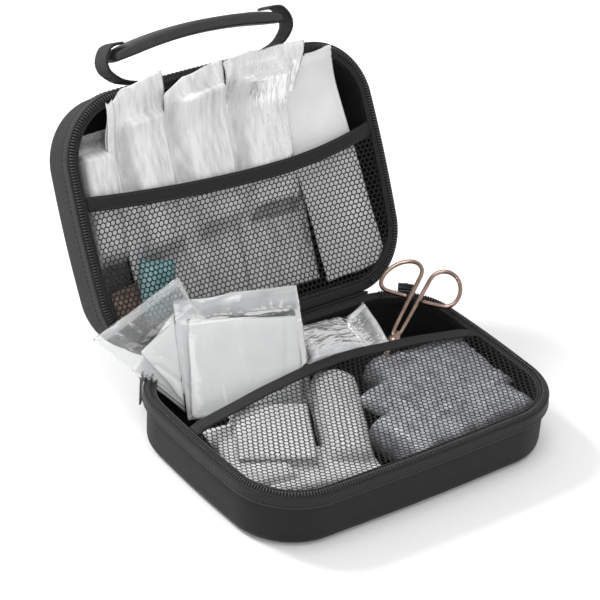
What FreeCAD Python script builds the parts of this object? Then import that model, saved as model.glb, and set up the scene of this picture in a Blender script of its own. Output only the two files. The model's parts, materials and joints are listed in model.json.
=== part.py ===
import FreeCAD, Part
import math
import os

# First aid kit: a zipped moulded case, open, with its contents. Millimetres.
# X runs along the hinge, +Y points to the hinge side, +Z is up.
# The origin is the middle of the face the base rests on.

# ---- case -------------------------------------------------------------
CASE_LENGTH = 220.0        # along X, over the zip tape
CASE_DEPTH = 160.0         # along Y, over the zip tape
BASE_HEIGHT = 37.0         # rest face to the mouth plane
LID_HEIGHT = 34.0          # mouth plane to the lid's outer face
PLAN_CORNER_RADIUS = 40.0
OPEN_ANGLE = 117.0         # lid opening as shown, 0 is closed
EDGE_ROUNDING = 14.0       # outer edge between the walls and the flat face
TAPE_PROUD = 2.8           # how far the zip tape band stands out of the shell
SHELL_WALL = 2.6
LINING_GAP = 0.1
LINING_WALL = 0.7
MOUTH_SETBACK = 1.8        # shell edge to the mouth plane
TAPE_TOP_SETBACK = 1.9
TAPE_BAND_HEIGHT = 8.0
TAPE_EDGE_ROUNDING = 0.9
TAPE_GAP = 0.02            # tape to shell

# ---- zip --------------------------------------------------------------
TEETH_OUTER_INSET = 2.0
TEETH_INNER_INSET = 3.8
RAIL_BOTTOM_SETBACK = 1.7
RAIL_TOP_SETBACK = 1.0
TEETH_TOP_SETBACK = 0.15
TEETH_PITCH = 4.0
TOOTH_LENGTH = 2.2
ZIP_END_X = 80.0           # the teeth stop here on the hinge side
SLIDER_ANGLE = 47.0        # rest position of a slider round the rear corner
SLIDER_ARC = 14.0
PLATE_OUTER_INSET = -1.6   # insets below zero lie outside the case outline
PLATE_INNER_INSET = -0.5
SHOULDER_INSET = 1.8       # where the slider's shoulder meets the teeth
WEB_INSET = 4.0            # where the web ends in the inner plate
INNER_PLATE_INSET = 4.9
SLIDER_JOIN = 0.1          # overlap of the slider's pieces
PLATE_HALF_HEIGHT = 3.4
SHOULDER_HALF_HEIGHT = 1.5
WEB_HALF_HEIGHT = 0.1
POST_INSET = -2.3
POST_OFFSET = 2.2          # the two bail posts, above and below the middle
BAIL_INSET = -3.4
TAB_AXIS_INSET = -2.35
TAB_EYE_RADIUS = 0.45
TAB_EYE_LENGTH = 4.6
TAB_ARM_SIDE = 2.35
TAB_ARM_DROP = 2.6         # below the eye: middle of the arms
TAB_BLADE_DROP = 12.6      # below the eye: middle of the blade
TAB_HOLE_DROP = 17.0
TAB_HOLE_RADIUS = 1.3

# ---- binding and hinge strip -----------------------------------------------
BINDING_OUTER_INSET = 6.3
BINDING_INNER_INSET = 7.7
BINDING_TOP_SETBACK = 2.0
BINDING_HEIGHT = 6.0
HINGE_STRIP_HALF_LENGTH = 76.0
HINGE_STRIP_REACH = 8.0
HINGE_STRIP_THICKNESS = 0.8
HINGE_STRIP_GAP = 0.2

# ---- nets -------------------------------------------------------------
NET_DEPTH = 1.4            # net below the mouth plane
NET_THICKNESS = 0.4
NET_EDGE_INSET = 7.8
NET_CELL = 9.0
NET_CORD = 1.4
NET_SELVEDGE = 2.0
ELASTIC_WIDTH = 9.0
ELASTIC_THICKNESS = 1.4
BASE_ELASTIC_SIDE_Y = 12.0
BASE_ELASTIC_MIDDLE_Y = 31.0
LID_ELASTIC_SIDE_Y = -24.0
LID_ELASTIC_MIDDLE_Y = -14.0
LID_NET_HINGE_Y = 68.0

# ---- handle (closed-lid place, the handle stands straight out) -----------------
HANDLE_DEPTH = 14.0        # above the mouth plane
GRIP_HALF_SPAN = 62.0
GRIP_WIDTH = 19.0
GRIP_THICKNESS = 8.5
GRIP_MIDDLE_REACH = 25.0   # grip centre line beyond the front face, middle
GRIP_END_REACH = 18.5      # the same at the grip's ends
STRAP_WIDTH = 15.0
STRAP_THICKNESS = 1.6
GRIP_ROUNDING = 2.4
GRIP_SLOT_X = 56.5         # the strap's slot through the grip's end
GRIP_SLOT_WIDTH = 4.8
GRIP_SLOT_PLAY = 0.6
GRIP_PANEL_HALF_LENGTH = 38.0
GRIP_PANEL_HALF_WIDTH = 5.0
GRIP_PANEL_DEPTH = 0.9
GRIP_PANEL_X = 20.0        # the panel's depth is set from the arch at this place
ANCHOR_X = 53.0
ANCHOR_LENGTH = 26.0
ANCHOR_THICKNESS = 1.3
ANCHOR_LIFT = 3.5          # patch middle above the strap's middle

# ---- scissors -------------------------------------------------------------
SCISSORS_PIVOT = FreeCAD.Vector(60.0, 33.5, 30.5)
SCISSORS_ALONG = FreeCAD.Vector(0.792, 0.508, 0.338)
SCISSORS_ACROSS = FreeCAD.Vector(0.527, -0.849, 0.040)
WIRE_RADIUS = 1.4
BLADE_LENGTH = 36.0
BLADE_WIDTH = 6.4
BLADE_THICKNESS = 1.3
SHANK_LENGTH = 30.0
RING_WIDTH = 22.0
RING_LENGTH = 26.0
RIVET_RADIUS = 1.5
RIVET_HEAD_RADIUS = 2.5
RIVET_HEAD_HEIGHT = 0.6
RIVET_HALF_GRIP = 1.42     # middle of the scissors to the underside of a head
RIVET_CLEARANCE = 0.05
HEEL_RADIUS = 4.2
BLADE_GAP = 0.06           # running gap between the two blades
BLADE_TIP_WIDTH = 1.1
SHANK_START_X = 4.0
SHANK_START_Y = 1.2
SHANK_Y = 2.3              # wire centre beside the scissors' middle line
SHANK_LEVEL = 0.7          # wire centre above or below the middle plane

AXIS_POINT = FreeCAD.Vector(0, CASE_DEPTH / 2, BASE_HEIGHT)
X_AXIS = FreeCAD.Vector(1, 0, 0)
Y_AXIS = FreeCAD.Vector(0, 1, 0)
Z_AXIS = FreeCAD.Vector(0, 0, 1)

# ---- contents -------------------------------------------------------------
FILM = 0.3                 # clearance between a wrapper and what it holds
ROLL_ROUNDING = 1.2
ROLL_CORE_SHARE = 0.22     # core hole as a share of the roll's radius
SLEEVE_WALL = 0.5
SLEEVE_OVERHANG = 1.2      # sleeve past each end of the roll
FIN_HALF_THICKNESS = 0.4
LAYER_GAP = 0.12           # air between the layers of a folded pad
FOLD_WIDTH = 2.0
FOLD_OVERLAP = 0.3
POUCH_BORDER = 2.0         # raised cover past the pad on each side
MARGIN_HALF_THICKNESS = 0.35
CRIMP_LENGTH = 6.0
CRIMP_INSET = 1.5


# ---- helpers ----------------------------------------------------------
def box(x_low, x_high, y_low, y_high, z_low, z_high):
    """Box between two corners."""
    corner = FreeCAD.Vector(x_low, y_low, z_low)
    return Part.makeBox(x_high - x_low, y_high - y_low, z_high - z_low, corner)


def plan_slab(inset, z_low, z_high):
    """Rounded-rectangle slab, the case outline moved inwards by inset."""
    half_x = CASE_LENGTH / 2 - inset
    half_y = CASE_DEPTH / 2 - inset
    radius = PLAN_CORNER_RADIUS - inset
    slab = box(-half_x, half_x, -half_y, half_y, z_low, z_high)
    upright = [e for e in slab.Edges if abs(e.Vertexes[0].Z - e.Vertexes[-1].Z) > 0.1]
    return slab.makeFillet(radius, upright)


def level_edges(shape, z):
    """Edges lying at one height."""
    found = []
    for edge in shape.Edges:
        bounds = edge.BoundBox
        if abs(bounds.ZMin - z) < 1e-4 and abs(bounds.ZMax - z) < 1e-4:
            found.append(edge)
    return found


def ring(inset_outer, inset_inner, z_low, z_high):
    """Ring following the case outline between two insets."""
    outer = plan_slab(inset_outer, z_low, z_high)
    inner = plan_slab(inset_inner, z_low - 1, z_high + 1)
    return outer.cut(inner)


def to_lid(shape):
    """Turn a part modelled as a base part over onto the closed lid, then open the lid."""
    turned = shape.copy()
    turned.rotate(FreeCAD.Vector(0, 0, BASE_HEIGHT), Y_AXIS, 180)
    return open_lid(turned)


def open_lid(shape):
    """Carry a shape placed on the closed lid to the open pose."""
    opened = shape.copy()
    opened.rotate(AXIS_POINT, X_AXIS, -OPEN_ANGLE)
    return opened


def rounded_box(length, width, height, radius):
    """Box centred on the origin with every edge rounded."""
    block = box(-length / 2, length / 2, -width / 2, width / 2, -height / 2, height / 2)
    return block.makeFillet(radius, block.Edges)


def place(shape, position, along=None, flat_normal=None):
    """Turn local X to along and local Z to flat_normal, then move to position."""
    placed = shape.copy()
    if along is not None:
        x_dir = FreeCAD.Vector(along)
        x_dir.normalize()
        z_dir = FreeCAD.Vector(flat_normal)
        z_dir = z_dir - x_dir * z_dir.dot(x_dir)
        z_dir.normalize()
        y_dir = z_dir.cross(x_dir)
        turn = FreeCAD.Matrix(
            x_dir.x, y_dir.x, z_dir.x, 0,
            x_dir.y, y_dir.y, z_dir.y, 0,
            x_dir.z, y_dir.z, z_dir.z, 0,
            0, 0, 0, 1,
        )
        placed.transformShape(turn)
    placed.translate(position)
    return placed


# ---- case halves ------------------------------------------------------
def tray(height):
    """Moulded half shell, open at the top, with a rounded lower edge."""
    top = BASE_HEIGHT - MOUTH_SETBACK
    bottom = BASE_HEIGHT - height
    outer = plan_slab(TAPE_PROUD, bottom, top)
    outer = outer.makeFillet(EDGE_ROUNDING, level_edges(outer, bottom))
    inset = TAPE_PROUD + SHELL_WALL
    inner = plan_slab(inset, bottom + SHELL_WALL, top + 1)
    low_edges = level_edges(inner, bottom + SHELL_WALL)
    inner = inner.makeFillet(EDGE_ROUNDING - SHELL_WALL, low_edges)
    return outer.cut(inner)


def lining(height):
    """Fabric lining just inside the shell."""
    inset = TAPE_PROUD + SHELL_WALL + LINING_GAP
    top = BASE_HEIGHT - BINDING_TOP_SETBACK - BINDING_HEIGHT / 2
    bottom = BASE_HEIGHT - height + SHELL_WALL + LINING_GAP
    rounding = EDGE_ROUNDING - SHELL_WALL - LINING_GAP
    outer = plan_slab(inset, bottom, top)
    outer = outer.makeFillet(rounding, level_edges(outer, bottom))
    inner = plan_slab(inset + LINING_WALL, bottom + LINING_WALL, top + 1)
    low_edges = level_edges(inner, bottom + LINING_WALL)
    inner = inner.makeFillet(rounding - LINING_WALL, low_edges)
    return outer.cut(inner)


def zip_tape():
    """Proud band of zip tape round the outside of a half, just below the mouth."""
    top = BASE_HEIGHT - TAPE_TOP_SETBACK
    bottom = top - TAPE_BAND_HEIGHT
    outer = plan_slab(0, bottom, top)
    outer = outer.makeFillet(
        TAPE_EDGE_ROUNDING, level_edges(outer, bottom) + level_edges(outer, top)
    )
    return outer.cut(plan_slab(TAPE_PROUD - TAPE_GAP, bottom - 1, top + 1))


def binding():
    """Smooth bias binding over the inner edge of a half."""
    top = BASE_HEIGHT - BINDING_TOP_SETBACK
    band = ring(BINDING_OUTER_INSET, BINDING_INNER_INSET, top - BINDING_HEIGHT, top)
    lip_low = top - BINDING_HEIGHT / 2 + 0.1
    lip = ring(SHELL_WALL + TAPE_PROUD + 0.05, BINDING_OUTER_INSET, lip_low, top)
    return band.fuse(lip).removeSplitter()


def corner_station(centre, radius, angle):
    """Place on a plan corner and the outline's heading there, in degrees."""
    x = centre[0] + radius * math.cos(angle)
    y = centre[1] + radius * math.sin(angle)
    return (x, y, math.degrees(angle) + 90.0)


def station(run, inset, end_turn):
    """Place and heading on the outline after a run from the rear left."""
    half_x = CASE_LENGTH / 2 - inset
    half_y = CASE_DEPTH / 2 - inset
    radius = PLAN_CORNER_RADIUS - inset
    straight_x = CASE_LENGTH / 2 - PLAN_CORNER_RADIUS
    straight_y = CASE_DEPTH / 2 - PLAN_CORNER_RADIUS
    lengths = leg_lengths(inset, end_turn)
    leg = 0
    while run > lengths[leg]:
        run -= lengths[leg]
        leg += 1
    if leg == 1:
        return (-half_x, straight_y - run, -90.0)
    if leg == 3:
        return (-straight_x + run, -half_y, 0.0)
    if leg == 5:
        return (half_x, -straight_y + run, 90.0)
    corners = {
        0: ((-straight_x, straight_y), math.pi - end_turn),
        2: ((-straight_x, -straight_y), math.pi),
        4: ((straight_x, -straight_y), 1.5 * math.pi),
        6: ((straight_x, straight_y), 0.0),
    }
    centre, start_angle = corners[leg]
    return corner_station(centre, radius, start_angle + run / radius)


def leg_lengths(inset, end_turn):
    """Lengths of the outline's corners and straights, rear left round to rear right."""
    radius = PLAN_CORNER_RADIUS - inset
    side = CASE_DEPTH - 2 * PLAN_CORNER_RADIUS
    front = CASE_LENGTH - 2 * PLAN_CORNER_RADIUS
    quarter = radius * math.pi / 2
    rear = radius * end_turn
    return [rear, side, quarter, front, quarter, side, rear]


def path_stations(inset, pitch):
    """Places and headings along the outline, rear left round the front to rear right."""
    radius = PLAN_CORNER_RADIUS - inset
    straight_x = CASE_LENGTH / 2 - PLAN_CORNER_RADIUS
    end_turn = math.acos((ZIP_END_X - straight_x) / radius) - math.radians(3)
    total = sum(leg_lengths(inset, end_turn))
    count = int(total / pitch)
    return [station((index + 0.5) * total / count, inset, end_turn) for index in range(count)]


def zip_teeth():
    """Teeth standing on a cord along the edge of the tape, open over the hinge."""
    z_low = BASE_HEIGHT - RAIL_BOTTOM_SETBACK
    z_rail = BASE_HEIGHT - RAIL_TOP_SETBACK
    z_top = BASE_HEIGHT - TEETH_TOP_SETBACK
    rail = ring(TEETH_OUTER_INSET, TEETH_INNER_INSET, z_low, z_rail)
    hinge_side = box(-ZIP_END_X, ZIP_END_X, 0, CASE_DEPTH, z_low - 1, z_top + 1)
    rail = rail.cut(hinge_side)
    middle = (TEETH_OUTER_INSET + TEETH_INNER_INSET) / 2
    width = TEETH_INNER_INSET - TEETH_OUTER_INSET - 0.2
    teeth = []
    for x, y, heading in path_stations(middle, TEETH_PITCH):
        tooth = box(-TOOTH_LENGTH / 2, TOOTH_LENGTH / 2, -width / 2, width / 2,
                    z_low + 0.3, z_top)
        tooth.rotate(FreeCAD.Vector(0, 0, 0), Z_AXIS, heading)
        tooth.translate(FreeCAD.Vector(x, y, 0))
        teeth.append(tooth)
    return rail.multiFuse(teeth).removeSplitter()


def hinge_strip():
    """Fabric strip joining the two halves behind the hinge line, bent as in the open pose."""
    turn = math.radians(OPEN_ANGLE)
    along_y, along_z = math.sin(turn), math.cos(turn)
    out_y, out_z = math.cos(turn), -math.sin(turn)
    back = CASE_DEPTH / 2
    inner, outer = HINGE_STRIP_GAP, HINGE_STRIP_GAP + HINGE_STRIP_THICKNESS

    def on_lid(run, off):
        return (back + run * along_y + off * out_y, BASE_HEIGHT + run * along_z + off * out_z)

    def corner(off):
        run = (off - off * out_y) / along_y
        return on_lid(run, off)

    outline = [
        (back + inner, BASE_HEIGHT - HINGE_STRIP_REACH),
        corner(inner),
        on_lid(HINGE_STRIP_REACH, inner),
        on_lid(HINGE_STRIP_REACH, outer),
        corner(outer),
        (back + outer, BASE_HEIGHT - HINGE_STRIP_REACH),
    ]
    points = [FreeCAD.Vector(-HINGE_STRIP_HALF_LENGTH, y, z) for y, z in outline]
    points.append(points[0])
    face = Part.Face(Part.makePolygon(points))
    return face.extrude(FreeCAD.Vector(2 * HINGE_STRIP_HALF_LENGTH, 0, 0))


# ---- nets -------------------------------------------------------------
def curved_edge_plate(side_y, middle_y, shift, z_low, z_high, towards):
    """Plate on one side of a shallow arc that crosses the case from side to side."""
    half = CASE_LENGTH / 2
    left = FreeCAD.Vector(-half, side_y + shift, z_low)
    middle = FreeCAD.Vector(0, middle_y + shift, z_low)
    right = FreeCAD.Vector(half, side_y + shift, z_low)
    arc = Part.Arc(left, middle, right).toShape()
    far_right = FreeCAD.Vector(half, towards, z_low)
    far_left = FreeCAD.Vector(-half, towards, z_low)
    wire = Part.Wire([arc, Part.makeLine(right, far_right), Part.makeLine(far_right, far_left),
                      Part.makeLine(far_left, left)])
    return Part.Face(wire).extrude(FreeCAD.Vector(0, 0, z_high - z_low))


def arc_y(side_y, middle_y, x):
    """Y of the elastic's shallow arc at a place across the case."""
    half = CASE_LENGTH / 2
    sag = middle_y - side_y
    radius = (half ** 2 + sag ** 2) / (2 * abs(sag))
    drop = radius - math.sqrt(radius ** 2 - x ** 2)
    return middle_y - math.copysign(drop, sag)


def inside_outline(x, y, inset):
    """Whether a point lies inside the case outline moved inwards by inset."""
    radius = PLAN_CORNER_RADIUS - inset
    past_x = abs(x) - (CASE_LENGTH / 2 - PLAN_CORNER_RADIUS)
    past_y = abs(y) - (CASE_DEPTH / 2 - PLAN_CORNER_RADIUS)
    if past_x > 0 and past_y > 0:
        return math.hypot(past_x, past_y) <= radius
    return past_x <= radius and past_y <= radius


def net_panel(panel, low_y, high_y):
    """Cut diamond openings in a panel, leaving a plain selvedge round it.

    low_y and high_y give the panel's two edges at a place across the case.
    """
    half_cell = NET_CELL / 2
    reach = half_cell - NET_CORD / 2
    z_low = panel.BoundBox.ZMin - 1
    columns = int(CASE_LENGTH / NET_CELL) + 1
    rows = int(CASE_DEPTH / NET_CELL) + 1
    holes = []
    for row in range(-rows, rows + 1):
        for column in range(-columns, columns + 1):
            x = column * half_cell
            y = row * half_cell
            if (row + column) % 2:
                continue
            corners = [(x - reach, y), (x, y - reach), (x + reach, y), (x, y + reach)]
            fits = all(
                inside_outline(cx, cy, NET_EDGE_INSET + NET_SELVEDGE)
                and low_y(cx) + NET_SELVEDGE < cy < high_y(cx) - NET_SELVEDGE
                for cx, cy in corners
            )
            if not fits:
                continue
            points = [FreeCAD.Vector(cx, cy, z_low) for cx, cy in corners]
            face = Part.Face(Part.makePolygon(points + points[:1]))
            holes.append(face.extrude(FreeCAD.Vector(0, 0, 3)))
    return panel.cut(Part.makeCompound(holes))


def base_net():
    """Net over the front of the base, up to the elastic."""
    z_high = BASE_HEIGHT - NET_DEPTH
    z_low = z_high - NET_THICKNESS
    slab = plan_slab(NET_EDGE_INSET, z_low, z_high)
    front = curved_edge_plate(BASE_ELASTIC_SIDE_Y, BASE_ELASTIC_MIDDLE_Y,
                              -ELASTIC_WIDTH - 0.05, z_low, z_high, -CASE_DEPTH)

    def free_edge(x):
        return arc_y(BASE_ELASTIC_SIDE_Y, BASE_ELASTIC_MIDDLE_Y, x) - ELASTIC_WIDTH

    return net_panel(slab.common(front), lambda x: -CASE_DEPTH, free_edge)


def base_net_elastic():
    """Elastic binding along the base net's free edge."""
    z_high = BASE_HEIGHT - NET_DEPTH + 0.5
    z_low = z_high - ELASTIC_THICKNESS
    slab = plan_slab(NET_EDGE_INSET, z_low, z_high)
    back_edge = curved_edge_plate(BASE_ELASTIC_SIDE_Y, BASE_ELASTIC_MIDDLE_Y, 0,
                                  z_low, z_high, -CASE_DEPTH)
    front_edge = curved_edge_plate(BASE_ELASTIC_SIDE_Y, BASE_ELASTIC_MIDDLE_Y,
                                   -ELASTIC_WIDTH, z_low - 1, z_high + 1, -CASE_DEPTH)
    return slab.common(back_edge).cut(front_edge)


def lid_net():
    """Net over the hinge side of the lid, modelled lying as on the base."""
    z_high = BASE_HEIGHT - NET_DEPTH
    z_low = z_high - NET_THICKNESS
    slab = plan_slab(NET_EDGE_INSET, z_low, z_high)
    back = curved_edge_plate(LID_ELASTIC_SIDE_Y, LID_ELASTIC_MIDDLE_Y,
                             ELASTIC_WIDTH + 0.05, z_low, z_high, LID_NET_HINGE_Y)

    def free_edge(x):
        return arc_y(LID_ELASTIC_SIDE_Y, LID_ELASTIC_MIDDLE_Y, x) + ELASTIC_WIDTH

    return net_panel(slab.common(back), free_edge, lambda x: LID_NET_HINGE_Y)


def lid_net_elastic():
    """Elastic binding along the lid net's free edge, modelled lying as on the base."""
    z_high = BASE_HEIGHT - NET_DEPTH + 0.5
    z_low = z_high - ELASTIC_THICKNESS
    slab = plan_slab(NET_EDGE_INSET, z_low, z_high)
    front_edge = curved_edge_plate(LID_ELASTIC_SIDE_Y, LID_ELASTIC_MIDDLE_Y, 0,
                                   z_low, z_high, CASE_DEPTH)
    back_edge = curved_edge_plate(LID_ELASTIC_SIDE_Y, LID_ELASTIC_MIDDLE_Y,
                                  ELASTIC_WIDTH, z_low - 1, z_high + 1, CASE_DEPTH)
    return slab.common(front_edge).cut(back_edge)


# ---- zip sliders ------------------------------------------------------
def sector(inset_outer, inset_inner, z_low, z_high):
    """Piece of a ring round the rear right plan corner, one slider long."""
    outer = PLAN_CORNER_RADIUS - inset_outer
    inner = PLAN_CORNER_RADIUS - inset_inner
    x = CASE_LENGTH / 2 - PLAN_CORNER_RADIUS
    y = CASE_DEPTH / 2 - PLAN_CORNER_RADIUS
    start = FreeCAD.Vector(x, y, z_low)
    height = z_high - z_low
    solid = Part.makeCylinder(outer, height, start, Z_AXIS, SLIDER_ARC)
    core = Part.makeCylinder(inner, height + 2, start - Z_AXIS, Z_AXIS, 360)
    piece = solid.cut(core)
    piece.rotate(start, Z_AXIS, SLIDER_ANGLE - SLIDER_ARC / 2)
    return piece


def corner_point(inset, z):
    """Point on the rear right plan corner at the slider's middle."""
    radius = PLAN_CORNER_RADIUS - inset
    turn = math.radians(SLIDER_ANGLE)
    x = CASE_LENGTH / 2 - PLAN_CORNER_RADIUS + radius * math.cos(turn)
    y = CASE_DEPTH / 2 - PLAN_CORNER_RADIUS + radius * math.sin(turn)
    return FreeCAD.Vector(x, y, z)


def outward():
    """Unit vector pointing out of the case at the slider."""
    turn = math.radians(SLIDER_ANGLE)
    return FreeCAD.Vector(math.cos(turn), math.sin(turn), 0)


def tangent():
    """Unit vector along the zip at the slider."""
    turn = math.radians(SLIDER_ANGLE)
    return FreeCAD.Vector(-math.sin(turn), math.cos(turn), 0)


def level_sector(inset_outer, inset_inner, half_height):
    """Slider piece that reaches equally far above and below the mouth plane."""
    return sector(inset_outer, inset_inner, BASE_HEIGHT - half_height, BASE_HEIGHT + half_height)


def zip_slider():
    """Slider: outer and inner plates joined by a thin web between the two rows."""
    outer_plate = level_sector(PLATE_OUTER_INSET, PLATE_INNER_INSET, PLATE_HALF_HEIGHT)
    shoulder_start = PLATE_INNER_INSET - SLIDER_JOIN
    shoulder = level_sector(shoulder_start, SHOULDER_INSET, SHOULDER_HALF_HEIGHT)
    web_start = SHOULDER_INSET - SLIDER_JOIN
    web = level_sector(web_start, WEB_INSET + SLIDER_JOIN, WEB_HALF_HEIGHT)
    inner_plate = level_sector(WEB_INSET, INNER_PLATE_INSET, SHOULDER_HALF_HEIGHT)
    pieces = [shoulder, web, inner_plate]
    post = rounded_box(1.8, 2.4, 0.8, 0.2)
    for offset in (-POST_OFFSET, POST_OFFSET):
        centre = corner_point(POST_INSET, BASE_HEIGHT + offset)
        pieces.append(place(post, centre, outward(), Z_AXIS))
    bail = rounded_box(0.8, 2.4, 5.2, 0.3)
    pieces.append(place(bail, corner_point(BAIL_INSET, BASE_HEIGHT), outward(), Z_AXIS))
    return outer_plate.multiFuse(pieces).removeSplitter()


def tab_blade(eye_centre):
    """Flat pierced blade of a pull tab, hanging below its eye."""
    blank = rounded_box(1.2, 5.6, 15.0, 0.5)
    blank = place(blank, eye_centre - Z_AXIS * TAB_BLADE_DROP, outward(), Z_AXIS)
    hole_start = eye_centre - Z_AXIS * TAB_HOLE_DROP - outward() * 3
    return blank.cut(Part.makeCylinder(TAB_HOLE_RADIUS, 6.0, hole_start, outward()))


def pull_tab():
    """Pull tab hanging from the slider's bail."""
    eye_centre = corner_point(TAB_AXIS_INSET, BASE_HEIGHT)
    eye_start = eye_centre - tangent() * (TAB_EYE_LENGTH / 2)
    eye = Part.makeCylinder(TAB_EYE_RADIUS, TAB_EYE_LENGTH, eye_start, tangent())
    pieces = [tab_blade(eye_centre)]
    arm = rounded_box(0.9, 0.9, 6.0, 0.3)
    for side in (-1, 1):
        centre = eye_centre + tangent() * (side * TAB_ARM_SIDE) - Z_AXIS * TAB_ARM_DROP
        pieces.append(place(arm, centre, outward(), Z_AXIS))
    return eye.multiFuse(pieces).removeSplitter()


def mirrored(shape):
    """Same part on the other end of the case."""
    return shape.mirror(FreeCAD.Vector(0, 0, 0), X_AXIS)


# ---- handle -----------------------------------------------------------
def handle_line(x):
    """Grip centre line: reach beyond the front face at a place along the grip."""
    share = abs(x) / GRIP_HALF_SPAN
    return GRIP_MIDDLE_REACH - (GRIP_MIDDLE_REACH - GRIP_END_REACH) * share ** 2


def grip_arc(offset, z):
    """Arc along the grip, moved outwards from its centre line by offset."""
    front = -CASE_DEPTH / 2
    end_y = front - handle_line(GRIP_HALF_SPAN) - offset
    middle_y = front - handle_line(0) - offset
    left = FreeCAD.Vector(-GRIP_HALF_SPAN, end_y, z)
    middle = FreeCAD.Vector(0, middle_y, z)
    right = FreeCAD.Vector(GRIP_HALF_SPAN, end_y, z)
    return Part.Arc(left, middle, right).toShape()


def grip_blank():
    """Arched bar with every edge rounded."""
    z_low = BASE_HEIGHT + HANDLE_DEPTH - GRIP_WIDTH / 2
    outer = grip_arc(GRIP_THICKNESS / 2, z_low)
    inner = grip_arc(-GRIP_THICKNESS / 2, z_low)
    left = Part.makeLine(inner.Vertexes[0].Point, outer.Vertexes[0].Point)
    right = Part.makeLine(outer.Vertexes[-1].Point, inner.Vertexes[-1].Point)
    face = Part.Face(Part.Wire(Part.__sortEdges__([outer, right, inner, left])))
    bar = face.extrude(FreeCAD.Vector(0, 0, GRIP_WIDTH))
    return bar.makeFillet(GRIP_ROUNDING, bar.Edges)


def handle_grip():
    """Moulded grip with a strap slot near each end and a shallow sunk panel."""
    front = -CASE_DEPTH / 2
    z_middle = BASE_HEIGHT + HANDLE_DEPTH
    slot_half_width = GRIP_SLOT_WIDTH / 2
    slot_half_height = STRAP_WIDTH / 2 + GRIP_SLOT_PLAY
    slot_y = front - handle_line(GRIP_HALF_SPAN - 5)
    cutters = []
    for side in (-1, 1):
        slot = box(-slot_half_width, slot_half_width, -12, 12, -slot_half_height, slot_half_height)
        slot.translate(FreeCAD.Vector(side * GRIP_SLOT_X, slot_y, z_middle))
        cutters.append(slot)
    panel = box(-GRIP_PANEL_HALF_LENGTH, GRIP_PANEL_HALF_LENGTH, -4, GRIP_PANEL_DEPTH,
                -GRIP_PANEL_HALF_WIDTH, GRIP_PANEL_HALF_WIDTH)
    panel = panel.makeFillet(2.0, [edge for edge in panel.Edges if edge.Length < 6])
    panel_y = front - handle_line(GRIP_PANEL_X) - GRIP_THICKNESS / 2
    panel.translate(FreeCAD.Vector(0, panel_y, z_middle))
    cutters.append(panel)
    return open_lid(grip_blank().cut(Part.makeCompound(cutters)))


def ribbon(points, thickness, width, z_middle):
    """Flat strap following a path in the XY plane."""
    outline = [FreeCAD.Vector(x, y, z_middle - width / 2) for x, y in points]
    spine = Part.BSplineCurve()
    spine.interpolate(outline)
    left_side = []
    right_side = []
    samples = 24
    first, last = spine.FirstParameter, spine.LastParameter
    for index in range(samples + 1):
        at = first + (last - first) * index / samples
        point = spine.value(at)
        heading = spine.tangent(at)[0]
        normal = FreeCAD.Vector(-heading.y, heading.x, 0) * (thickness / 2)
        left_side.append(point + normal)
        right_side.append(point - normal)
    right_side.reverse()
    upper = Part.BSplineCurve()
    upper.interpolate(left_side)
    lower = Part.BSplineCurve()
    lower.interpolate(right_side)
    edges = [upper.toShape(), Part.makeLine(left_side[-1], right_side[0]), lower.toShape(),
             Part.makeLine(right_side[-1], left_side[0])]
    return Part.Face(Part.Wire(edges)).extrude(FreeCAD.Vector(0, 0, width))


def handle_strap():
    """Webbing strap from the wall anchor round into the grip's end slot."""
    front = -CASE_DEPTH / 2
    grip_y = front - handle_line(GRIP_SLOT_X)
    points = [
        (ANCHOR_X - 5, front - 1.2),
        (ANCHOR_X + 3, front - 4.0),
        (GRIP_HALF_SPAN + 3.5, front - 10.0),
        (GRIP_HALF_SPAN + 4.5, grip_y - 1.0),
        (GRIP_HALF_SPAN + 0.6, grip_y - 6.6),
        (GRIP_SLOT_X + 1.6, grip_y - 6.8),
        (GRIP_SLOT_X, grip_y - 3.5),
        (GRIP_SLOT_X, grip_y + 6.5),
    ]
    return ribbon(points, STRAP_THICKNESS, STRAP_WIDTH, BASE_HEIGHT + HANDLE_DEPTH)


def handle_anchor():
    """Webbing patch sewn to the lid's front wall under a strap."""
    patch = rounded_box(ANCHOR_LENGTH, ANCHOR_THICKNESS, STRAP_WIDTH - 1, 0.5)
    y = -CASE_DEPTH / 2 + TAPE_PROUD - 0.7
    z = BASE_HEIGHT + HANDLE_DEPTH + ANCHOR_LIFT
    patch.translate(FreeCAD.Vector(ANCHOR_X - 1, y, z))
    return patch


# ---- scissors ---------------------------------------------------------
def scissors_frame(shape):
    """Place a part drawn flat, blades along -X, rings along +X, in the case."""
    normal = SCISSORS_ALONG.cross(SCISSORS_ACROSS)
    return place(shape, SCISSORS_PIVOT, SCISSORS_ALONG, normal * -1)


def blade(side, level):
    """One blade, its cutting edge on the far side of the centre line."""
    low = (level - 1) * BLADE_THICKNESS / 2
    heel_half = BLADE_WIDTH / 2
    outline = [
        (5, -heel_half + 0.2),
        (5, heel_half - 0.2),
        (-2, heel_half),
        (-BLADE_LENGTH, BLADE_TIP_WIDTH - 0.2),
        (-BLADE_LENGTH, -0.2),
        (-2, -heel_half),
    ]
    points = [FreeCAD.Vector(x, y * side, low) for x, y in outline]
    face = Part.Face(Part.makePolygon(points + points[:1]))
    return face.extrude(FreeCAD.Vector(0, 0, BLADE_THICKNESS))


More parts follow.
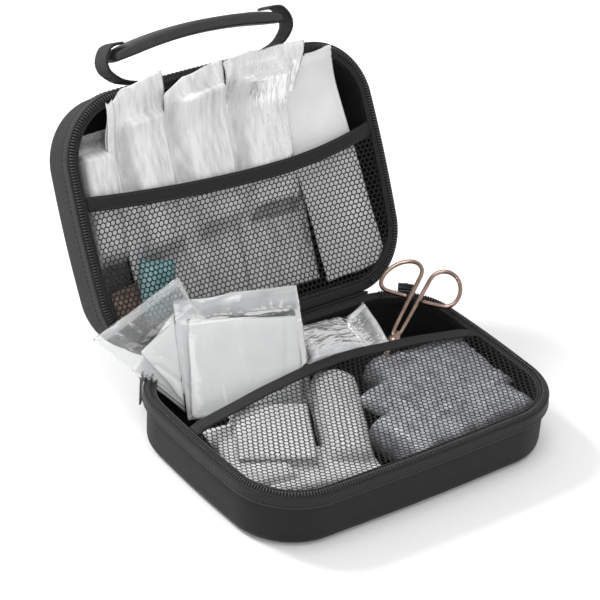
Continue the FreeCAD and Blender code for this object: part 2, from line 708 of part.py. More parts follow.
def ring_line():
    """Wire centre line of one half, from the rivet back round the finger ring."""
    ring_x = SHANK_START_X + SHANK_LENGTH
    end_x = ring_x + RING_LENGTH
    outer_y = SHANK_Y + RING_WIDTH - 2 * WIRE_RADIUS
    return [
        (SHANK_START_X, SHANK_START_Y),
        (SHANK_START_X + 6, SHANK_Y),
        (ring_x, SHANK_Y),
        (ring_x + 6, SHANK_Y - 0.6),
        (end_x - 7, SHANK_Y + 1.0),
        (end_x - 1.0, SHANK_Y + 7.5),
        (end_x - 1.5, outer_y - 6),
        (end_x - 9.0, outer_y),
        (ring_x + 6.5, outer_y - 1.0),
        (ring_x + 0.5, outer_y - 7.5),
        (ring_x + 0.8, SHANK_Y + 4.2),
    ]


def wire_handle(side, level):
    """Wire shank running back to a round-cornered ring."""
    spine = [FreeCAD.Vector(x, y * side, level * SHANK_LEVEL) for x, y in ring_line()]
    curve = Part.BSplineCurve()
    curve.interpolate(spine)
    path = Part.Wire([curve.toShape()])
    heading = curve.tangent(curve.FirstParameter)[0]
    circle = Part.Wire([Part.makeCircle(WIRE_RADIUS, spine[0], heading)])
    return path.makePipeShell([circle], True, True)


def scissors_half(side, level):
    """Blade and bent wire handle of one half; level keeps the halves apart."""
    heel_low = (level - 1) * BLADE_THICKNESS / 2
    heel = Part.makeCylinder(HEEL_RADIUS, BLADE_THICKNESS, FreeCAD.Vector(0, 0, heel_low))
    half = blade(-side, level).multiFuse([heel, wire_handle(side, level)])
    near = BLADE_GAP / 2 * level
    far = near - 20 * level
    other_side = box(-80, 16, -60, 60, min(near, far), max(near, far))
    half = half.cut(other_side)
    bore = Part.makeCylinder(RIVET_RADIUS + RIVET_CLEARANCE, 20, FreeCAD.Vector(0, 0, -10))
    return scissors_frame(half.cut(bore).removeSplitter())


def scissors_rivet():
    """Rivet through both halves with a flat head each side."""
    shaft = Part.makeCylinder(RIVET_RADIUS, 4.0, FreeCAD.Vector(0, 0, -2.0))
    heads = []
    for low in (RIVET_HALF_GRIP, -RIVET_HALF_GRIP - RIVET_HEAD_HEIGHT):
        start = FreeCAD.Vector(0, 0, low)
        heads.append(Part.makeCylinder(RIVET_HEAD_RADIUS, RIVET_HEAD_HEIGHT, start))
    return scissors_frame(shaft.multiFuse(heads).removeSplitter())


# ---- contents ---------------------------------------------------------
def roll(radius, length):
    """Bandage roll along X: rounded cylinder with a small wound core showing."""
    start = FreeCAD.Vector(-length / 2, 0, 0)
    body = Part.makeCylinder(radius, length, start, X_AXIS)
    rims = [edge for edge in body.Edges if len(edge.Vertexes) == 1]
    body = body.makeFillet(ROLL_ROUNDING, rims)
    core_radius = radius * ROLL_CORE_SHARE
    core = Part.makeCylinder(core_radius, length + 2, start - X_AXIS, X_AXIS)
    return body.cut(core)


def roll_wrapper(radius, length, fin_width, top_fin, bottom_fin):
    """Film wrapper along X: sleeve round a roll, flat crimped fins at both ends."""
    inner = radius + FILM
    outer = inner + SLEEVE_WALL
    half = length / 2
    sleeve_start = FreeCAD.Vector(-half - SLEEVE_OVERHANG, 0, 0)
    sleeve = Part.makeCylinder(outer, length + 2 * SLEEVE_OVERHANG, sleeve_start, X_AXIS)
    fin = box(-half - bottom_fin, half + top_fin, -fin_width / 2, fin_width / 2,
              -FIN_HALF_THICKNESS, FIN_HALF_THICKNESS)
    void_start = FreeCAD.Vector(-half - FILM, 0, 0)
    void = Part.makeCylinder(inner, length + 2 * FILM, void_start, X_AXIS)
    return sleeve.fuse(fin).cut(void)


def folded_pad(length, width, layers, layer_thickness):
    """Folded gauze pad: layers joined by a rounded fold on alternate sides."""
    half = length / 2
    slabs = []
    for index in range(layers):
        low = (index - layers / 2) * layer_thickness
        slabs.append(box(-half, half, -width / 2, width / 2,
                         low + LAYER_GAP, low + layer_thickness))
    for index in range(1, layers):
        low = (index - layers / 2) * layer_thickness
        side = 1 if index % 2 else -1
        edge = side * (half - FOLD_WIDTH / 2)
        slabs.append(box(edge - FOLD_WIDTH / 2, edge + FOLD_WIDTH / 2, -width / 2, width / 2,
                         low - FOLD_OVERLAP, low + LAYER_GAP + FOLD_OVERLAP))
    return slabs[0].multiFuse(slabs[1:]).removeSplitter()


def film_pouch(length, width, pad_length, pad_width, pad_height):
    """Flat clear pouch with sealed margins round a pad-sized hollow."""
    hollow_x = pad_length / 2 + FILM
    hollow_y = pad_width / 2 + FILM
    hollow_z = pad_height / 2 + FILM
    hollow = box(-hollow_x, hollow_x, -hollow_y, hollow_y, -hollow_z, hollow_z)
    cover_length = pad_length + 2 * POUCH_BORDER
    cover_width = pad_width + 2 * POUCH_BORDER
    cover_height = 2 * hollow_z + 1.0
    cover = rounded_box(cover_length, cover_width, cover_height, 0.9)
    margin = box(-length / 2, length / 2, -width / 2, width / 2,
                 -MARGIN_HALF_THICKNESS, MARGIN_HALF_THICKNESS)
    return cover.fuse(margin).cut(hollow).removeSplitter()


def pillow_pack(length, width, height, rounding):
    """Soft filled packet with flat crimped ends along X."""
    body = rounded_box(length - 2 * CRIMP_LENGTH, width - CRIMP_INSET * 2, height, rounding)
    half_width = width / 2 - CRIMP_INSET
    flat = box(-length / 2, length / 2, -half_width, half_width,
               -FIN_HALF_THICKNESS, FIN_HALF_THICKNESS)
    return body.fuse(flat).removeSplitter()


def on_lid(shape, x, from_hinge, depth, tilt=0.0):
    """Put a part drawn along X on the lid, standing up from the hinge, tilt in degrees."""
    lean = math.radians(tilt)
    along = FreeCAD.Vector(math.sin(lean), -math.cos(lean), 0)
    centre = FreeCAD.Vector(x, CASE_DEPTH / 2 - from_hinge, BASE_HEIGHT + depth)
    return open_lid(place(shape, centre, along, FreeCAD.Vector(0, 0, -1)))


LID_ROLLS = [
    # name, x, centre from hinge, depth, radius, roll length, fin width, top fin, low fin
    ("small", -85.0, 96.0, 14.5, 10.5, 58.0, 24.0, 9.0, 8.0),
    ("narrow", -53.0, 102.0, 15.5, 11.5, 74.0, 36.0, 14.0, 12.0),
    ("medium", -16.0, 104.0, 16.5, 12.7, 76.0, 35.0, 10.0, 12.0),
    ("wide", 26.0, 104.0, 16.6, 13.0, 76.0, 43.0, 10.0, 12.0),
]


LID_PACKS = [
    # name, x, centre from hinge, depth, tilt, length, width, height, rounding
    ("plaster_pack_teal", -60.0, 36.0, 8.0, 8.0, 38.0, 26.0, 6.0, 2.2),
    ("plaster_pack_brown", -88.0, 40.0, 8.0, -6.0, 30.0, 24.0, 5.0, 2.0),
]


def lid_contents():
    """Rolls in their wrappers and the flat packs behind the lid net."""
    parts = {}
    for name, x, run, depth, radius, length, fin, top, low in LID_ROLLS:
        parts["bandage_" + name] = on_lid(roll(radius, length), x, run, depth)
        wrapper = roll_wrapper(radius, length, fin, top, low)
        parts["wrapper_" + name] = on_lid(wrapper, x, run, depth)
    dressing = rounded_box(108, 35, 4.2, 1.6)
    parts["dressing_pouch"] = on_lid(dressing, 68, 91, 12.0)
    for name, x, run, depth, tilt, length, width, height, rounding in LID_PACKS:
        pack = pillow_pack(length, width, height, rounding)
        parts[name] = on_lid(pack, x, run, depth, tilt)
    return parts


ROLL_HEADING = FreeCAD.Vector(0.487, 0.873, 0)
BASE_PACKETS = [
    # name, centre, heading, length, width, height, rounding
    ("packet_front", (48, -48, 13.5), (1, 0.12, 0), 66, 36, 18, 4.0),
    ("packet_side", (66, -4, 12.5), (1, -0.25, 0), 52, 28, 14, 3.5),
    ("packet_top", (54, -34, 26.2), (1, 0.3, 0), 56, 40, 6, 2.2),
]


def base_contents():
    """Pads, roll and packets lying in the base under the net."""
    parts = {}
    pad_centre = FreeCAD.Vector(-53, -7, 18.5)
    parts["dressing_pad"] = place(folded_pad(54, 44, 7, 4.2), pad_centre, ROLL_HEADING, Z_AXIS)
    roll_centre = FreeCAD.Vector(-16, -17, 17.8)
    parts["bandage_base"] = place(roll(14, 80), roll_centre, ROLL_HEADING, Z_AXIS)
    for name, centre, heading, length, width, height, rounding in BASE_PACKETS:
        pack = pillow_pack(length, width, height, rounding)
        parts[name] = place(pack, FreeCAD.Vector(*centre), FreeCAD.Vector(*heading), Z_AXIS)
    return parts


def left_pouch():
    """Smaller pouch and its pad, fanned out to the left over the rim."""
    across = FreeCAD.Vector(64, 6.6, 20)
    normal = across.cross(FreeCAD.Vector(-28, 54, 22))
    centre = FreeCAD.Vector(-92, 59, 55)
    return {
        "gauze_pad_left": place(folded_pad(26, 52, 2, 2.0), centre, across, normal),
        "gauze_pouch_left": place(film_pouch(38, 66, 26, 52, 4.0), centre, across, normal),
    }


def right_pouch():
    """Large pouch and its pad, leaning on the lid net."""
    across = FreeCAD.Vector(72.4, -22.4, 0)
    normal = across.cross(FreeCAD.Vector(7, 24, 38))
    centre = FreeCAD.Vector(-42, 56, 50)
    return {
        "gauze_pad_right": place(folded_pad(60, 50, 3, 2.0), centre, across, normal),
        "gauze_pouch_right": place(film_pouch(70, 66, 60, 50, 6.0), centre, across, normal),
    }


def cloth_packet():
    """Folded cloth in a film packet beside the scissors."""
    across = FreeCAD.Vector(50, -6, 2)
    normal = FreeCAD.Vector(0, -0.15, 1)
    centre = FreeCAD.Vector(26, 51.5, 30.5)
    return {
        "folded_cloth": place(folded_pad(38, 26, 3, 2.3), centre, across, normal),
        "cellophane_packet": place(film_pouch(54, 34, 38, 26, 7.0), centre, across, normal),
    }


# ---- all sub-parts ----------------------------------------------------
def build_all():
    """Every sub-part by node name."""
    parts = {
        "base_shell": tray(BASE_HEIGHT),
        "base_lining": lining(BASE_HEIGHT),
        "base_zip_tape": zip_tape(),
        "base_binding": binding(),
        "base_zip_teeth": zip_teeth(),
        "base_net": base_net(),
        "base_net_elastic": base_net_elastic(),
        "hinge_strip": hinge_strip(),
        "lid_shell": to_lid(tray(LID_HEIGHT)),
        "lid_lining": to_lid(lining(LID_HEIGHT)),
        "lid_zip_tape": to_lid(zip_tape()),
        "lid_binding": to_lid(binding()),
        "lid_zip_teeth": to_lid(zip_teeth()),
        "lid_net": to_lid(lid_net()),
        "lid_net_elastic": to_lid(lid_net_elastic()),
        "zip_slider_right": zip_slider(),
        "zip_slider_left": mirrored(zip_slider()),
        "pull_tab_right": pull_tab(),
        "pull_tab_left": mirrored(pull_tab()),
        "handle_grip": handle_grip(),
        "handle_strap_right": open_lid(handle_strap()),
        "handle_strap_left": open_lid(mirrored(handle_strap())),
        "handle_anchor_right": open_lid(handle_anchor()),
        "handle_anchor_left": open_lid(mirrored(handle_anchor())),
        "scissors_half_left": scissors_half(1, 1),
        "scissors_half_right": scissors_half(-1, -1),
        "scissors_rivet": scissors_rivet(),
    }
    for group in (lid_contents, base_contents, left_pouch, right_pouch, cloth_packet):
        parts.update(group())
    return parts


os.makedirs("parts", exist_ok=True)
for node, shape in build_all().items():
    shape.exportStep("parts/" + node + ".step")
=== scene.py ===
import json
import math

import bmesh
import bpy
import numpy as np
from mathutils import Matrix, Vector
from mathutils.bvhtree import BVHTree


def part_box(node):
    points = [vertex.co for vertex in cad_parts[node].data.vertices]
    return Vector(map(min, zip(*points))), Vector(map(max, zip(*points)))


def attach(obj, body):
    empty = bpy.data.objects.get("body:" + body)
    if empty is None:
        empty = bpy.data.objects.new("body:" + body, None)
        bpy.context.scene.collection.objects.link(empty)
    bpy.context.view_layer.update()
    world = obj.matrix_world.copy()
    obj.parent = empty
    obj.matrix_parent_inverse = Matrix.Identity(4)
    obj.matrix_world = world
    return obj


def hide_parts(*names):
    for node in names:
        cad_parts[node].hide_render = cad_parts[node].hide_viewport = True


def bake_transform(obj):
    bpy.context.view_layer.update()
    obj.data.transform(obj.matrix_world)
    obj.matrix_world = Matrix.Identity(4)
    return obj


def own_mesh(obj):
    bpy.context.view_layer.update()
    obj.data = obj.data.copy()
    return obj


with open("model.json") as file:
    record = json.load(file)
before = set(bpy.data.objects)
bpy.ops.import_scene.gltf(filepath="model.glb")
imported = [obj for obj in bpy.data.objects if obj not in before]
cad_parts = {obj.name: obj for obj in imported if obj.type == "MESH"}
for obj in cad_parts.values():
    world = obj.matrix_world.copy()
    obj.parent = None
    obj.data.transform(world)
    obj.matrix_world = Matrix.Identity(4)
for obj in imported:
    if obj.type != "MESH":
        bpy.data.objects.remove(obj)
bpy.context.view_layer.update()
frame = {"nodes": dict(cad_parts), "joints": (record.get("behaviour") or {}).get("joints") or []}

# ---- measures, in millimetres, from the frame ----------------------------
MM = 0.001
joints = {joint["name"]: joint for joint in frame["joints"]}


def span(node):
    """Lowest and highest corner of a CAD node in millimetres."""
    low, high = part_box(node)
    return np.array(low) / MM, np.array(high) / MM


def centre_of(node):
    low, high = span(node)
    return (low + high) / 2


HALF_LENGTH, HALF_DEPTH, _ = span("base_zip_tape")[1]
HINGE = np.array(joints["lid_hinge"]["pos_m"]) / MM
MOUTH = HINGE[2]
OPEN_TURN = math.radians(-joints["lid_hinge"]["range_deg"][0])
BASE_DEPTH = MOUTH
LID_DEPTH = 34.0
CORNER = 40.0
SIDE_BOW = 1.6
SHELL_INSET = 2.8
LINING_INSET = 6.2
EDGE_ROUNDING = 14.0

UP_LID = np.array([0.0, -math.cos(OPEN_TURN), math.sin(OPEN_TURN)])
INTO_LID = np.array([0.0, math.sin(OPEN_TURN), math.cos(OPEN_TURN)])


def in_base(points):
    """Half coordinates (x, y, depth below the mouth) to the base."""
    points = np.asarray(points, float)
    return points * [1, 1, -1] + [0, 0, MOUTH]


def in_lid(points):
    """Half coordinates (x, y, depth below the mouth) to the opened lid."""
    points = np.asarray(points, float)
    x, y, depth = points[..., 0], points[..., 1], points[..., 2]
    run = HALF_DEPTH - y
    placed = HINGE + run[..., None] * UP_LID + depth[..., None] * INTO_LID
    placed[..., 0] = x
    return placed


def to_half(points):
    """The opened lid's coordinates back to (x, y, depth)."""
    offset = np.asarray(points, float) - HINGE
    run = offset @ UP_LID
    depth = offset @ INTO_LID
    return np.stack([offset[..., 0], HALF_DEPTH - run, depth], -1)


# ---- array tools ---------------------------------------------------------
def stacked(*parts):
    """Points from coordinates that broadcast together."""
    return np.stack(np.broadcast_arrays(*parts), -1)


def unit(vector):
    return np.asarray(vector, float) / np.linalg.norm(vector)


def run_along(points):
    """Distance travelled at each point of a path."""
    return np.concatenate([[0], np.cumsum(np.linalg.norm(np.diff(points, axis=0), axis=1))])


def squared_off(value, power):
    """A sine or cosine raised to a power with its sign kept, to flatten a circle's sides."""
    return np.sign(value) * np.abs(value) ** power


def smooth_step(share):
    share = np.clip(share, 0, 1)
    return share * share * (3 - 2 * share)


def turn_flat(x, y, angle):
    """x and y turned about the origin."""
    return x * math.cos(angle) - y * math.sin(angle), x * math.sin(angle) + y * math.cos(angle)


def in_axes(centre, x_axis, y_axis, z_axis):
    """Placer for shapes drawn in x, y and z: along three axes from a centre."""
    def place(points):
        points = np.asarray(points, float)
        return (points[..., :1] * x_axis + points[..., 1:2] * y_axis
                + points[..., 2:] * z_axis + centre)

    return place


def axes_from(along, normal):
    """Unit axes (along, across, normal) from two directions."""
    along = unit(along)
    normal = np.asarray(normal, float)
    normal = unit(normal - along * (normal @ along))
    return along, np.cross(normal, along), normal


def shrinking_rings(rim, middle, rings):
    """Grid from a closed rim to its middle, and each ring's share of the way."""
    shares = np.linspace(0, 1, rings)
    return rim[:, None] * (1 - shares[None, :, None]) + middle * shares[None, :, None], shares


# ---- repeatable noise ----------------------------------------------------
def lattice(ix, iy, iz, seed):
    """A fixed pseudo-random value in 0..1 for each lattice point."""
    mixed = ix * 374761393 + iy * 668265263 + iz * 1274126177 + seed * 974711
    mixed = (mixed ^ (mixed >> 13)) * 1103515245 & 0x7FFFFFFF
    mixed = (mixed ^ (mixed >> 11)) * 22695477 & 0x7FFFFFFF
    return (mixed >> 7) % 65536 / 65535.0


def noise(points, size, seed=0):
    """Smooth noise in 0..1 with features of the given size in millimetres."""
    scaled = np.asarray(points, float) / size
    cell = np.floor(scaled).astype(np.int64)
    part = smooth_step(scaled - cell)
    total = 0
    for dx in (0, 1):
        for dy in (0, 1):
            for dz in (0, 1):
                weight = 1.0
                for axis, step in enumerate((dx, dy, dz)):
                    share = part[..., axis]
                    weight = weight * (share if step else 1 - share)
                value = lattice(cell[..., 0] + dx, cell[..., 1] + dy, cell[..., 2] + dz, seed)
                total = total + weight * value
    return total


def ridges(points, size, seed=0):
    """Sharp crease noise in 0..1, 1 along the creases."""
    return 1 - np.abs(2 * noise(points, size, seed) - 1)


def grid_faces(rows, cols):
    """Quads of a rows by cols grid of points."""
    r, c = np.meshgrid(np.arange(rows - 1), np.arange(cols - 1), indexing="ij")
    corner = (r * cols + c).ravel()
    return np.stack([corner, corner + 1, corner + cols + 1, corner + cols], -1)


def make_piece(name, points, faces, look, uv=None, merge=0.0, haze=None):
    """A mesh object from points in millimetres; uv and haze have one row per point."""
    mesh = bpy.data.meshes.new(name)
    mesh.from_pydata((np.asarray(points, float).reshape(-1, 3) * MM).tolist(), [],
                     [list(map(int, face)) for face in faces])
    if uv is not None:
        layer = mesh.uv_layers.new(name="UVMap")
        corners = np.zeros(len(mesh.loops), np.int32)
        mesh.loops.foreach_get("vertex_index", corners)
        layer.data.foreach_set("uv", np.asarray(uv, np.float32).reshape(-1, 2)[corners].ravel())
    if haze is not None:
        mesh.attributes.new("haze", "FLOAT", "POINT").data.foreach_set(
            "value", np.asarray(haze, np.float32).ravel())
    editable = bmesh.new()
    editable.from_mesh(mesh)
    if merge:
        bmesh.ops.remove_doubles(editable, verts=editable.verts, dist=merge * MM)
        bmesh.ops.dissolve_degenerate(editable, edges=editable.edges, dist=1e-7)
    bmesh.ops.recalc_face_normals(editable, faces=editable.faces)
    editable.to_mesh(mesh)
    editable.free()
    mesh.polygons.foreach_set("use_smooth", [True] * len(mesh.polygons))
    mesh.materials.append(MATERIALS[look])
    piece = bpy.data.objects.new(name, mesh)
    bpy.context.scene.collection.objects.link(piece)
    return piece


def join_grids(name, grids, look, merge=0.004, haze=None):
    """One object from several (points, uv) grids whose shared edges are merged."""
    points, uvs, faces, count = [], [], [], 0
    for grid, uv in grids:
        rows, cols = grid.shape[:2]
        points.append(grid.reshape(-1, 3))
        uvs.append(uv.reshape(-1, 2))
        faces.append(grid_faces(rows, cols) + count)
        count += rows * cols
    return make_piece(name, np.concatenate(points), np.concatenate(faces), look,
                      uv=np.concatenate(uvs), merge=merge, haze=haze)


def smooth_path(points, steps=8):
    """Catmull-Rom curve through the points."""
    points = np.asarray(points, float)
    padded = np.vstack([2 * points[0] - points[1], points, 2 * points[-1] - points[-2]])
    curve = []
    for index in range(len(points) - 1):
        a, b, c, d = padded[index:index + 4]
        for step in range(steps):
            t = step / steps
            curve.append(0.5 * (2 * b + (c - a) * t + (2 * a - 5 * b + 4 * c - d) * t ** 2
                                + (3 * b - a - 3 * c + d) * t ** 3))
    curve.append(points[-1])
    return np.array(curve)


def tube(path, radius, sides):
    """Points and uv of a round tube along a path, with domed ends."""
    path = np.asarray(path, float)
    ahead, behind = unit(path[0] - path[1]), unit(path[-1] - path[-2])
    head = [path[0] + ahead * radius * out for out in (1.0, 0.87, 0.5)]
    tail = [path[-1] + behind * radius * out for out in (0.5, 0.87, 1.0)]
    dome = [0.03, 0.5, 0.87]
    sizes = radius * np.array(dome + [1.0] * len(path) + dome[::-1])
    path = np.vstack([head, path, tail])
    tangents = np.gradient(path, axis=0)
    tangents /= np.linalg.norm(tangents, axis=1)[:, None]
    side = unit(np.cross(tangents[0], [0.31, 0.17, 0.93]))
    turn = np.linspace(0, 2 * math.pi, sides, endpoint=False)
    rings = []
    for place, tangent, size in zip(path, tangents, sizes):
        side = unit(side - tangent * (side @ tangent))
        other = np.cross(tangent, side)
        ring = np.cos(turn)[:, None] * side + np.sin(turn)[:, None] * other
        rings.append(place + ring * size)
    rings = np.array(rings)
    closed = np.concatenate([rings, rings[:, :1]], axis=1)
    return closed, stacked(run_along(path)[:, None], np.linspace(0, 6.3, sides + 1)[None])


def thread_row(name, half, line, radius, places, look, steps=2):
    """Copies of one short bent thread at many (origin, x axis, y axis, z axis) places."""
    grid, _ = tube(smooth_path(line, steps), radius, 6)
    shape, shape_faces = grid.reshape(-1, 3), grid_faces(*grid.shape[:2])
    points = [shape @ np.array(axes) + origin for origin, *axes in places]
    faces = [shape_faces + index * len(shape) for index in range(len(places))]
    return make_piece(name, half(np.concatenate(points)), np.concatenate(faces), look,
                      merge=0.002)


def settle(piece, body, node=None):
    """Let a piece ride a body and stand in for a CAD node."""
    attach(piece, body)
    if node:
        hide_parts(node)
    return piece


# ---- the case outline ----------------------------------------------------
def outline(step=2.0):
    """Closed plan outline: points, outward normals and run along it."""
    straight_x = HALF_LENGTH - CORNER
    straight_y = HALF_DEPTH - CORNER
    points, normals = [], []

    def line(start, end, normal):
        count = max(2, round(np.linalg.norm(np.subtract(end, start)) / step))
        for share in np.arange(count) / count:
            points.append(np.add(start, np.subtract(end, start) * share))
            normals.append(normal)

    def arc(centre, first):
        count = round(CORNER * math.pi / 2 / step)
        for share in np.arange(count) / count:
            turn = math.radians(first + 90 * share)
            normals.append((math.cos(turn), math.sin(turn)))
            points.append(np.add(centre, np.multiply(normals[-1], CORNER)))

    line((0, HALF_DEPTH), (-straight_x, HALF_DEPTH), (0, 1))
    arc((-straight_x, straight_y), 90)
    line((-HALF_LENGTH, straight_y), (-HALF_LENGTH, -straight_y), (-1, 0))
    arc((-straight_x, -straight_y), 180)
    line((-straight_x, -HALF_DEPTH), (straight_x, -HALF_DEPTH), (0, -1))
    arc((straight_x, -straight_y), 270)
    line((HALF_LENGTH, -straight_y), (HALF_LENGTH, straight_y), (1, 0))
    arc((straight_x, straight_y), 0)
    line((straight_x, HALF_DEPTH), (0, HALF_DEPTH), (0, 1))
    points, normals = np.array(points), np.array(normals)
    front = np.clip(1 - (points[:, 0] / (straight_x + 30)) ** 2, 0, 1) ** 2 * (normals[:, 1] < -0.7)
    sides = np.clip(1 - (points[:, 1] / (straight_y + 30)) ** 2, 0, 1) ** 2
    sides = sides * (np.abs(normals[:, 0]) > 0.7)
    points = points + normals * (SIDE_BOW * (front + sides))[:, None]
    points = np.vstack([points, points[:1]])
    normals = np.vstack([normals, normals[:1]])
    return points, normals, run_along(points)


RIM, RIM_NORMAL, RIM_RUN = outline()


def sweep(profile):
    """Grid and uv of a (inset, depth) profile carried round the outline."""
    profile = np.asarray(profile, float)
    plan = RIM[:, None, :] - RIM_NORMAL[:, None, :] * profile[None, :, :1]
    depth = np.broadcast_to(profile[None, :, 1:], plan.shape[:2] + (1,))
    return np.concatenate([plan, depth], -1), stacked(RIM_RUN[:, None], run_along(profile)[None])


def rounded_profile(corners, radius, steps=5):
    """Polyline through the corners with each inner corner rounded."""
    corners = np.asarray(corners, float)
    result = [corners[0]]
    for index in range(1, len(corners) - 1):
        before, here, after = corners[index - 1:index + 2]
        back = before - here
        ahead = after - here
        reach = min(radius, np.linalg.norm(back) * 0.45, np.linalg.norm(ahead) * 0.45)
        start = here + back / np.linalg.norm(back) * reach
        end = here + ahead / np.linalg.norm(ahead) * reach
        for share in np.linspace(0, 1, steps):
            result.append((1 - share) ** 2 * start + 2 * share * (1 - share) * here
                          + share ** 2 * end)
    result.append(corners[-1])
    return np.array(result)


def close_face(edge_grid, crown):
    """Grid from the last ring of a sweep to the middle of the flat face."""
    ring = edge_grid[:, -1]
    grid, shares = shrinking_rings(ring, np.array([0, 0, ring[0, 2]]), 16)
    grid[..., 2] += crown * np.sin(shares * math.pi / 2)[None]
    return grid, grid[..., :2].copy()


# ---- node materials ------------------------------------------------------
class Finish:
    """A node material while it is being put together."""

    def __init__(self, name):
        self.material = bpy.data.materials.new(name)
        self.material.use_nodes = True
        self.tree = self.material.node_tree
        self.tree.nodes.clear()
        self.output = self.add("ShaderNodeOutputMaterial")

    def feed(self, socket, value):
        if isinstance(value, bpy.types.NodeSocket):
            self.tree.links.new(value, socket)
        else:
            socket.default_value = value

    def add(self, kind, inputs=None, **settings):
        node = self.tree.nodes.new(kind)
        for key, value in settings.items():
            setattr(node, key, value)
        for key, value in (inputs or {}).items():
            self.feed(node.inputs[key], value)
        return node

    def maths(self, operation, a, b=0.0, c=0.5, clamp=False):
        return self.add("ShaderNodeMath", {0: a, 1: b, 2: c}, operation=operation,
                        use_clamp=clamp).outputs[0]

    def plus(self, a, b, share=1.0):
        """a + share * b."""
        return self.maths("ADD", a, self.maths("MULTIPLY", b, share))

    def fold(self, value):
        """Sharp valley where a 0..1 value crosses its middle."""
        return self.maths("ABSOLUTE", self.maths("SUBTRACT", value, 0.5))

    def edge_highlight_hollow_shade(self):
        """Positive on edges and negative in hollows; added to a colour it paints a highlight on
        edges and shade in hollows.
        """
        edges = self.add("ShaderNodeNewGeometry").outputs["Pointiness"]
        return self.maths("SUBTRACT", edges, 0.5)

    def uv(self):
        """Surface coordinates in millimetres as two sockets."""
        split = self.add("ShaderNodeSeparateXYZ",
                         {0: self.add("ShaderNodeTexCoord").outputs["UV"]})
        return split.outputs[0], split.outputs[1]

    def wave(self, value, pitch):
        """0..1 ripple along a coordinate."""
        angle = self.maths("MULTIPLY", value, 2 * math.pi / pitch)
        return self.maths("MULTIPLY_ADD", self.maths("SINE", angle), 0.5)

    def noise(self, size, detail=3.0, roughness=0.55):
        """Object space noise with features of the given size in millimetres."""
        return self.add("ShaderNodeTexNoise", {
            "Vector": self.add("ShaderNodeTexCoord").outputs["Object"],
            "Scale": 1 / (size * MM),
            "Detail": detail, "Roughness": roughness}).outputs[0]

    def ranged(self, value, low, high, start=0.0, end=1.0):
        """A value between start and end moved to lie between low and high."""
        return self.add("ShaderNodeMapRange", {
            0: value, 1: start, 2: end, 3: low, 4: high}).outputs[0]

    def shade(self, value, low, high, start=0.0, end=1.0):
        """A value turned into a colour between low and high."""
        return self.add("ShaderNodeMix", {
            "Factor": self.ranged(value, 0.0, 1.0, start, end),
            "A": (*low, 1), "B": (*high, 1)}, data_type="RGBA").outputs["Result"]

    def bump(self, height, depth):
        """Normal from a 0..1 height that stands depth millimetres proud."""
        return self.add("ShaderNodeBump", {
            "Height": height, "Distance": depth * MM, "Strength": 1.0}).outputs[0]

    def blend(self, share, first, second):
        """Node that mixes the shaders of two others."""
        return self.add("ShaderNodeMixShader", {
            0: share, 1: first.outputs[0], 2: second.outputs[0]})

    def surface(self, **inputs):
        """Principled surface as the output; underscores stand for spaces."""
        named = {key.replace("_", " "): value for key, value in inputs.items()}
        body = self.add("ShaderNodeBsdfPrincipled", named)
        self.tree.links.new(body.outputs[0], self.output.inputs[0])
        return self.material


def black_weave(name, pitch, style, tone, depth, roughness=0.62):
    """Black woven or knitted cloth; style picks how the threads cross."""
    finish = Finish(name)
    u, v = finish.uv()
    if style == "twill":
        thread = finish.wave(finish.maths("SUBTRACT", u, v), pitch * 0.55)
        height = finish.plus(finish.wave(finish.maths("ADD", u, v), pitch), thread, 0.35)
    elif style == "rib":
        height = finish.plus(finish.wave(u, pitch), finish.wave(v, pitch * 0.8), 0.5)
    else:
        height = finish.maths("ABSOLUTE", finish.plus(finish.wave(u, pitch),
                                                      finish.wave(v, pitch), -1.0))
    height = finish.plus(height, finish.noise(0.35, 2.0), 0.5)
    blotch = finish.noise(14.0, 4.0)
    mixed = finish.plus(finish.maths("MULTIPLY", height, 0.5), blotch, 0.5)
    # painted highlight on convex edges and painted shade in hollows, from the mesh's pointiness
    mixed = finish.plus(mixed, finish.edge_highlight_hollow_shade(), 2.0)
    dark = tuple(tone * share for share in (0.55, 0.55, 0.6))
    light = tuple(tone * share for share in (1.75, 1.75, 1.85))
    return finish.surface(
        Base_Color=finish.shade(mixed, dark, light, 0.15, 1.0),
        Roughness=finish.ranged(blotch, roughness - 0.08, roughness + 0.1),
        Sheen_Weight=0.06, Sheen_Roughness=0.45, Specular_IOR_Level=0.3,
        Normal=finish.bump(height, depth))


def black_solid(name, tone, roughness, grain, depth, coat=0.0):
    """Moulded rubber, nylon or lacquer with a fine grain."""
    finish = Finish(name)
    fine = finish.noise(grain, 3.0, 0.6)
    broad = finish.noise(grain * 18, 3.0)
    # painted highlight on convex edges and painted shade in hollows, from the mesh's pointiness
    mixed = finish.plus(finish.maths("MULTIPLY", finish.edge_highlight_hollow_shade(), 3.0), broad, 0.6)
    mixed = finish.plus(mixed, fine, 0.3)
    return finish.surface(
        Base_Color=finish.shade(mixed, (tone * 0.6,) * 3, (tone * 1.9,) * 3, 0.1, 0.9),
        Roughness=finish.ranged(broad, roughness - 0.07, roughness + 0.1, 0.3, 0.7),
        Coat_Weight=coat, Coat_Roughness=0.2, Normal=finish.bump(fine, depth))


def warm_metal(name):
    """Warm nickel plate with faint drawing lines and handling marks."""
    finish = Finish(name)
    broad = finish.noise(9.0, 4.0)
    return finish.surface(
        Base_Color=finish.shade(broad, (0.34, 0.235, 0.19), (0.50, 0.37, 0.31), 0.3, 0.7),
        Metallic=1.0, Roughness=finish.ranged(broad, 0.14, 0.27, 0.3, 0.7),
        Normal=finish.bump(finish.plus(broad, finish.noise(0.25, 2.0), 0.4), 0.02))


